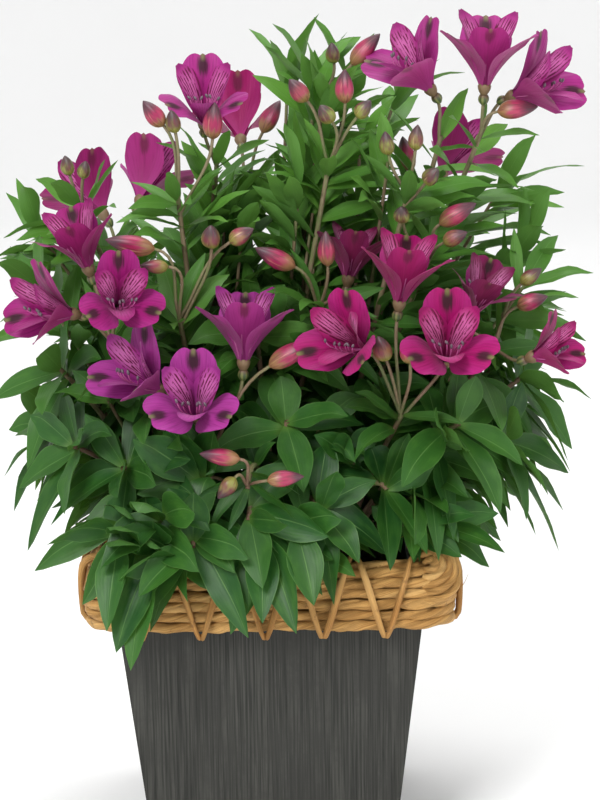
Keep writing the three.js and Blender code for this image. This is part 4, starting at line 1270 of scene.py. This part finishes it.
def inner_strands(material):
    """The bundle's inner strands, seen only in the gaps between the rows."""
    bag = Bag()
    for k, (half, z) in enumerate(INNER_STRANDS):
        points, _, length = round_square(half, INNER_STRAND_STEP)
        middle = np.concatenate([points, np.full((len(points), 1), z)], axis=1)
        rings = round_rings(middle, INNER_STRAND_RADIUS, 7, loop=True)
        bag.tube(rings, (0.1 * k, 0.0, 0.5), loop=True, turns=length)
    bag.piece("rope_inner_strands", material, "rope", ["rope_inner_band"])


def eased(a, b, c, d, t):
    """A point between b and c on a smooth curve through a, b, c and d."""
    square, cube = 2 * a - 5 * b + 4 * c - d, 3 * b - a - 3 * c + d
    return 0.5 * (2 * b + (c - a) * t + square * t * t + cube * t**3)


def lashing(material):
    """The thin strand that zigzags over the rope rows, pulled tight under the rim."""
    path = []
    for side in range(4):
        for middle in LASHES:
            bends = [(LASH_SPREAD * pinch, half, z) for pinch, (half, z) in zip(LASH_PINCH, LASH_BENDS)]
            down = [(middle - away, half, z) for away, half, z in bends]
            up = [(middle + away, half, z) for away, half, z in reversed(bends[:-1])]
            path += [[*quarter(side, x, -half), z] for x, half, z in down + up]
    path = np.array(path)
    fine = []
    count = len(path)
    for i in range(count):
        near = [path[(i + k) % count] for k in (-1, 0, 1, 2)]
        steps = max(3, int(np.linalg.norm(near[2] - near[1]) / LASH_STEP))
        fine += [eased(*near, t) for t in np.arange(steps) / steps]
    fine = np.array(fine)
    swell = 1 + 0.16 * wander(len(fine), 77, [9, 23, 41])
    bag = Bag()
    rings = round_rings(fine, LASH_STRAND_RADIUS * swell, 8, loop=True, ribs=2, rib_depth=0.16)
    bag.tube(rings, (0.8, 1.0, 0.5), loop=True, turns=len(fine) * LASH_STEP)
    bag.piece("lashing_strand", material, "lashing", ["lashing"])


def corner_swirl(material):
    """The rope's end: bands that swirl over the front right corner, round a tucked-in middle."""
    bag = Bag()
    draw = Draws(616)
    centre = np.array(SWIRL_CENTRE)
    outward = unit(np.array(SWIRL_FACING))
    e1 = unit(np.cross(UP, outward))
    e2 = np.cross(outward, e1)
    size = SWIRL_STEP * SWIRL_BANDS
    for k in range(SWIRL_BANDS):
        a = np.linspace(math.radians(-128 + 5 * k), math.radians(104 - 2 * k), SWIRL_RINGS)
        reach = SWIRL_STEP * (k + 0.6) * (1 + 0.05 * np.sin(3 * a + k))
        drop = SWIRL_BULGE * (reach / size) ** 2
        ends = np.abs(np.linspace(-1, 1, SWIRL_RINGS)) ** 4 * SWIRL_TUCK
        middles = centre + np.outer(reach * np.cos(a), e1) + np.outer(reach * np.sin(a), e2)
        middles = middles - np.outer(drop + ends, outward)
        plump = np.sin(math.pi * np.linspace(0.06, 0.94, SWIRL_RINGS)) ** 0.35
        radii = SWIRL_BAND_RADIUS * plump * draw.over(0.9, 0.2)
        rings = round_rings(middles, radii, 10, twist=0.8, ribs=3, rib_depth=0.12)
        bag.tube(rings, (draw(), 1.0, draw()), turns=0.08)
    for _ in range(SWIRL_FIBRES):
        a = math.radians(draw.over(-120, 225))
        far = size * draw.over(0.3, 0.8)
        start = centre + e1 * far * math.cos(a) + e2 * far * math.sin(a) - outward * 0.004
        along = -e1 * math.sin(a) + e2 * math.cos(a)
        end = start + along * draw.over(0.005, 0.006) + outward * draw.over(0.001, 0.002)
        middle = start + along * 0.003 + outward * 0.0035
        middles = bezier_points([start, middle, middle, end], 5)
        bag.tube(round_rings(middles, np.linspace(*FIBRE_RADII, 5), 4), (draw(), 1.0, 0.5), turns=0.02)
    bag.piece("rope_corner_swirl", material, "rope")


# Planter

def board_pieces(material):
    """The boards of the solids, with their long edges eased."""
    for side in ("front", "right", "back", "left"):
        node = f"board_{side}"
        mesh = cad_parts[node].data.copy()
        mesh.materials.clear()
        layer = mesh.uv_layers.new(name="place")
        for loop in mesh.loops:
            x, y, z = mesh.vertices[loop.vertex_index].co
            layer.data[loop.index].uv = (x if side in ("front", "back") else y + 1.0, z)
        piece = add_piece(f"side_board_{side}", mesh, material, [node])
        edges = piece.modifiers.new("eased_edges", "BEVEL")
        edges.width = BOARD_EDGE
        edges.segments = 2
        edges.limit_method = "ANGLE"


def soil_piece(material):
    """Crumbly potting mix, a little lower at the liner."""
    bag = Bag()
    share = np.linspace(-1.0, 1.0, SOIL_GRID)
    x, y = np.meshgrid(share, share)
    edge = np.maximum(np.abs(x), np.abs(y))
    clods = (
        np.sin(37 * x + 5 * np.sin(23 * y)) * np.sin(41 * y + 4 * np.sin(19 * x))
        + 0.6 * np.sin(83 * x + 3 * y) * np.sin(79 * y - 7 * x)
    )
    z = SOIL_TOP - SOIL_SINK * smooth(0.85, 1.0, edge) + CLOD_HEIGHT * clods
    z = np.where(edge > 0.999, SOIL_SKIRT, z)
    grid = np.stack([x * SOIL_HALF, y * SOIL_HALF, z], axis=-1)
    bag.sheet(grid, np.stack([(x + 1) / 2, (y + 1) / 2], axis=-1), (0.5, 0.5, 0.5))
    bag.piece("potting_mix", material, "soil", ["soil"])


# Materials

def leaf_material():
    g = Graph("leaf")
    u, v = g.place()
    tint, youth_and_painted_light, other = g.tone()
    side = abs(v * 2.0 - 1.0)
    streak = g.noise(g.at(u * 3.0, side * 30.0, tint * 40.0), 1.0)
    patch = g.noise(g.at(u * 2.2, side, other * 30.0), 2.0, 2.0)
    rib = side.span(0.0, 0.055, 0.55, 0.0)
    colour = g.layers(
        # dark green low down to pale green high up: young leaves are paler, and the rest is painted shade
        # below and painted light above
        g.mix(youth_and_painted_light, (0.007, 0.046, 0.010), (0.115, 0.285, 0.038)),
        (tint * 0.40, (0.022, 0.115, 0.014)),
        (patch.span(0.40, 0.75, 0.0, 0.25), (0.080, 0.220, 0.028)),
        (streak.span(0.4, 0.7, 0.0, 0.22), (0.012, 0.070, 0.010)),
        (u.span(0.0, 0.22, 0.55, 0.0), (0.140, 0.270, 0.045)),  # pale root
        (rib, (0.130, 0.270, 0.070)),
        (side.span(0.93, 1.0, 0.0, 0.45), (0.120, 0.260, 0.060)),  # pale rim
        (g.backfacing() * 0.5, (0.080, 0.180, 0.050)),
    )
    height = (side * 34.0).through("SINE") * 0.12 + streak * 0.3 - rib * 1.4
    glow = g.mix(0.5, colour, (0.16, 0.36, 0.03))
    return g.surface(colour, streak * 0.16 + 0.36, 0.3, (height, 0.35, 0.0004), glow, 0.24)


def petal_tones(shade):
    """The main colour of a petal, its deep and its light tone."""
    main = np.array(PETAL_COLOURS[shade])
    deep = main * np.array([0.45, 0.25, 0.42])
    light = main * 0.8 + np.array([0.16, 0.035, 0.15])
    return tuple(main), tuple(deep), tuple(light)


def outer_material(shade):
    """A broad petal: faint veins, a dark spot before its end and a greenish point in the spot."""
    g = Graph(f"outer_petal_{shade}")
    u, v = g.place()
    tint = g.tone()[0]
    main, deep, light = petal_tones(shade)
    side = v * 2.0 - 1.0
    away = abs(side)
    veins = g.noise(g.at(u * 3.5, side * 15.0, tint * 50.0), 1.0)
    keel = away.span(0.12, 0.0) * u.span(0.25, 0.65)
    reach = (((u - 0.83) * 7.5) ** 2.0 + (side * 3.6) ** 2.0).through("SQRT")
    spot = (reach + (veins - 0.5) * 1.3).span(1.30, 0.45)
    point = u.span(0.86, 0.94) * away.span(0.14, 0.03)
    colour = g.layers(
        main,
        (away.span(0.2, 1.0, 0.0, 0.40), light),
        (veins.span(0.42, 0.75, 0.0, 0.5), deep),
        (u.span(0.42, 0.08, 0.0, 0.4), light),
        (keel * 0.5, deep),
        (spot * 0.97, (0.022, 0.004, 0.008)),
        (point * 0.8, (0.15, 0.17, 0.05)),
        (g.backfacing() * 0.35, (0.33, 0.03, 0.12)),
    )
    height = veins + (side * 42.0).through("SINE") * 0.2
    return petal_surface(g, colour, height, g.mix(0.4, colour, main))


def inner_material(shade):
    """A narrow petal: a pale field with dark dashes that follow its length."""
    g = Graph(f"inner_petal_{shade}")
    u, v = g.place()
    tint, other, upper = g.tone()
    main, deep, light = petal_tones(shade)
    side = v * 2.0 - 1.0
    away = abs(side)
    veins = g.noise(g.at(u * 4.0, side * 12.0, tint * 50.0), 1.0)
    pale = (upper * 0.65 + 0.35) * away.span(0.95, 0.35) * (u.span(0.12, 0.42) * u.span(0.98, 0.72))
    pink = tuple(np.array(light) * 0.7 + np.array([0.33, 0.13, 0.22]))
    stripes = (side * 27.0 + veins * 7.0).through("SINE").span(-0.05, 0.45)
    breaks = g.noise(g.at(u * 10.0, side * 7.0, other * 70.0), 1.0, 1.0)
    zone = u.span(0.12, 0.26) * u.span(0.95, 0.88) * away.span(0.98, 0.82)
    dashes = stripes * breaks.span(0.38, 0.46) * zone * (upper * 0.7 + 0.30)
    colour = g.layers(
        main,
        (veins.span(0.4, 0.75, 0.0, 0.5), deep),
        (pale * 0.85, pink),
        (dashes, (0.105, 0.002, 0.026)),
        (u.span(0.93, 1.0, 0.0, 0.6), deep),
    )
    return petal_surface(g, colour, veins, g.mix(0.5, colour, light))


def petal_surface(g, colour, height, glow):
    return g.surface(colour, 0.5, 0.22, (height, 0.35, 0.0004), glow, 0.28, **{"Sheen Weight": 0.08})


def stamen_material():
    g = Graph("stamens")
    kind = g.tone()[0]
    colour = g.layers(
        (0.16, 0.10, 0.05),  # the flower's cup
        (kind.span(0.1, 0.2), (0.42, 0.09, 0.26)),  # filaments
        (kind.span(0.5, 0.8), (0.11, 0.075, 0.095)),  # anthers
    )
    grain = g.noise(g.stretched(), 900.0)
    return g.surface(colour, 0.6, bump=(grain, 0.3, 0.0002))


def stem_material():
    g = Graph("stem")
    high = g.tone()[1]
    grain = g.noise(g.stretched(z=0.15), 900.0)
    patch = g.noise(g.stretched(z=0.5), 60.0)
    colour = g.layers(
        g.mix(high, (0.150, 0.078, 0.052), (0.175, 0.145, 0.080)),
        (patch.span(0.45, 0.7, 0.0, 0.7), (0.110, 0.180, 0.048)),
        (grain.span(0.4, 0.75, 0.0, 0.35), (0.28, 0.22, 0.16)),
    )
    return g.surface(colour, 0.6, 0.3, (grain, 0.3, 0.0003))


def pod_material():
    g = Graph("seed_pod")
    u, v = g.place()
    ribs = (v * (6 * 2 * math.pi)).through("SINE")
    colour = g.mix(ribs.span(-0.6, 0.9), (0.045, 0.075, 0.022), (0.150, 0.170, 0.050))
    return g.surface(g.mix(u.span(0.6, 1.0, 0.0, 0.6), colour, (0.14, 0.045, 0.045)), 0.45)


def bud_material():
    """Pink where a bud is ripe and green where it is unripe, with a pale seam along each petal."""
    g = Graph("bud")
    u, v = g.place()
    tint, ripe = g.tone()[:2]
    veins = g.noise(g.at(u * 2.2, v * 26.0, tint * 60.0), 1.0, 4.0)
    wide = g.noise(g.at(u * 1.5, v * 5.0, tint * 60.0), 1.0, 2.0)
    pink = g.mix(wide.span(0.3, 0.7), (0.230, 0.006, 0.055), (0.340, 0.040, 0.085))
    green = g.mix(wide.span(0.35, 0.65), (0.180, 0.200, 0.040), (0.085, 0.030, 0.026))
    seam = ((v * (3 * 2 * math.pi)).through("COSINE") + veins).span(-0.45, -0.70)
    foot = (u - veins * 0.62).span(0.12, -0.14) * (ripe * -0.4 + 0.95)
    tip = (u + veins * 0.5).span(0.72, 1.06)
    colour = g.layers(
        g.mix(ripe.span(0.1, 0.9), green, pink),
        (seam * 0.6, (0.46, 0.33, 0.17)),
        (foot, (0.200, 0.205, 0.040)),
        (tip * 0.92, (0.045, 0.026, 0.034)),
        (veins.span(0.52, 0.64) * 0.6, (0.13, 0.016, 0.035)),
    )
    return g.surface(colour, 0.42, 0.4, (veins, 0.4, 0.0004))


def rope_material(name, dark, light):
    g = Graph(name)
    u, v = g.place()
    tint, _, other = g.tone()
    fibres = g.noise(g.at(u * 24.0, v * 13.0, tint * 60.0), 1.6, 6.0, 0.75)
    broad = g.noise(g.at(u * 11.0, other * 30.0, tint), 1.0)
    spots = g.noise(g.stretched(), 160.0, 4.0)
    colour = g.layers(
        g.mix(fibres.span(0.30, 0.68), dark, light),
        (broad.span(0.42, 0.72, 0.0, 0.6), (0.74, 0.47, 0.18)),
        (broad.span(0.46, 0.25, 0.0, 0.5), (0.25, 0.11, 0.022)),
        (spots.span(0.62, 0.74, 0.0, 0.55), (0.13, 0.055, 0.018)),
    )
    return g.surface(colour, 0.62, 0.3, (fibres, 1.0, 0.0013))


def board_material():
    """Dark wood with a fine upright grain, paler along some of it and worn in patches."""
    g = Graph("dark_board")
    across, up = g.place()
    fine = g.noise(g.at(across * 850.0, up * 13.0), 1.0, 3.0, 0.6)
    broad = g.noise(g.at(across * 210.0, up * 6.0), 1.0)
    worn = g.noise(g.stretched(z=0.7), 32.0, 6.0, 0.7)
    colour = g.layers(
        g.mix(fine.span(0.34, 0.68), (0.019, 0.0195, 0.017), (0.050, 0.050, 0.044)),
        (broad.span(0.56, 0.76, 0.0, 0.42), (0.100, 0.098, 0.086)),
        (broad.span(0.46, 0.32, 0.0, 0.5), (0.013, 0.013, 0.012)),
        (worn.span(0.42, 0.60, 0.0, 0.6), (0.028, 0.028, 0.025)),
    )
    rough = fine.span(0.3, 0.7, 0.66, 0.52)
    return g.surface(colour, rough, 0.2, (fine * 0.6 + broad * 0.7, 0.5, 0.0006))


def underside_material():
    g = Graph("dark_underside")
    grain = g.noise(g.stretched(y=0.02), 500.0)
    return g.surface(g.mix(grain.span(0.35, 0.65), (0.030, 0.030, 0.028), (0.060, 0.058, 0.052)), 0.7)


def soil_material():
    g = Graph("potting_mix")
    crumbs = g.noise(g.stretched(), 420.0, 5.0, 0.7)
    colour = g.mix(crumbs.span(0.35, 0.65), (0.010, 0.007, 0.005), (0.055, 0.035, 0.020))
    return g.surface(colour, 0.95, bump=(crumbs, 1.0, 0.003))


def liner_material():
    g = Graph("liner")
    scuffs = g.noise(g.stretched(z=0.3), 300.0)
    return g.surface((0.012, 0.012, 0.013), scuffs.span(0.3, 0.7, 0.4, 0.6))


def studio_material():
    g = Graph("studio")
    return g.surface(g.mix(g.noise(g.stretched(), 3.0), (0.86, 0.86, 0.86), (0.90, 0.90, 0.90)), 0.9)


def all_materials():
    made = {
        "leaf": leaf_material(), "stem": stem_material(), "pod": pod_material(), "bud": bud_material(),
        "stamens": stamen_material(), "board": board_material(), "soil": soil_material(),
        "liner": liner_material(), "floor_board": underside_material(),
        "rope": rope_material("rope", (0.27, 0.125, 0.026), (0.62, 0.350, 0.110)),
        "lash": rope_material("lashing", (0.25, 0.105, 0.022), (0.50, 0.250, 0.066)),
    }
    for shade in PETAL_COLOURS:
        made[f"outer_{shade}"] = outer_material(shade)
        made[f"inner_{shade}"] = inner_material(shade)
    return made


# Studio

def studio():
    """A pale floor that sweeps up all round, soft lights and a pale sky."""
    level = STUDIO_RADIUS - STUDIO_BEND
    profile = [(level * 0.5, 0.0), (level, 0.0)]
    for k in range(1, BEND_STEPS + 1):
        a = math.pi / 2 * k / BEND_STEPS
        profile.append((level + STUDIO_BEND * math.sin(a), STUDIO_BEND * (1 - math.cos(a))))
    profile.append((STUDIO_RADIUS, STUDIO_HEIGHT))
    sides = STUDIO_SIDES
    turns = [FULL_TURN * k / sides for k in range(sides)]
    points = [(r * math.cos(a), r * math.sin(a), z) for r, z in profile for a in turns]
    faces = [tuple(range(sides))]
    for i in range(0, (len(profile) - 1) * sides, sides):
        for k in range(sides):
            last = (k + 1) % sides
            faces.append((i + k, i + sides + k, i + sides + last, i + last))
    mesh = bpy.data.meshes.new("studio_floor")
    mesh.from_pydata(points, [], faces)
    mesh.polygons.foreach_set("use_smooth", np.ones(len(mesh.polygons), dtype=bool))
    mesh.materials.append(studio_material())
    link("studio_floor", mesh)

    for name, place, size, power in LIGHTS:
        light = bpy.data.lights.new(name, "AREA")
        light.size = size
        light.energy = power
        link(name, light).matrix_world = aim(Vector(place), LIGHT_TARGET)

    world = bpy.data.worlds.new("soft_sky")
    world.use_nodes = True
    world.node_tree.nodes["Background"].inputs["Color"].default_value = (1.0, 1.0, 1.0, 1.0)
    world.node_tree.nodes["Background"].inputs["Strength"].default_value = SKY
    bpy.context.scene.world = world


def aim(place, target):
    """The matrix of a lamp or camera at `place` that looks at `target`."""
    turn = (Vector(target) - place).to_track_quat("-Z", "Y").to_matrix().to_4x4()
    return Matrix.Translation(place) @ turn


def camera():
    eye = Vector(CAMERA_TARGET) + Vector(TOWARDS_CAMERA) * CAMERA_FAR
    lens = bpy.data.cameras.new("photo_view")
    lens.lens = CAMERA_LENS
    lens.sensor_width = 36.0
    lens.clip_end = 20.0
    view = link("photo_view", lens)
    view.matrix_world = aim(eye, CAMERA_TARGET) @ Matrix.Rotation(CAMERA_ROLL, 4, "Z")
    bpy.context.scene.camera = view


def build():
    bpy.context.scene.view_settings.view_transform = "Standard"
    looks = all_materials()
    camera()
    studio()
    room = Room()
    plans = lay_out(room)
    fill_stems(room, plans)
    fill_shoots(room, plans)
    for plan in plans:
        clump_pieces(plan, looks)
        for bloom in plan["blooms"]:
            flower_piece(bloom, looks)
    for row, (half, z) in enumerate(ROWS):
        rope_row(row, half, z, looks["rope"])
    inner_strands(looks["rope"])
    lashing(looks["lash"])
    corner_swirl(looks["rope"])
    board_pieces(looks["board"])
    soil_piece(looks["soil"])
    for node in ("liner", "floor_board"):
        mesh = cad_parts[node].data
        mesh.materials.clear()
        mesh.materials.append(looks[node])


build()
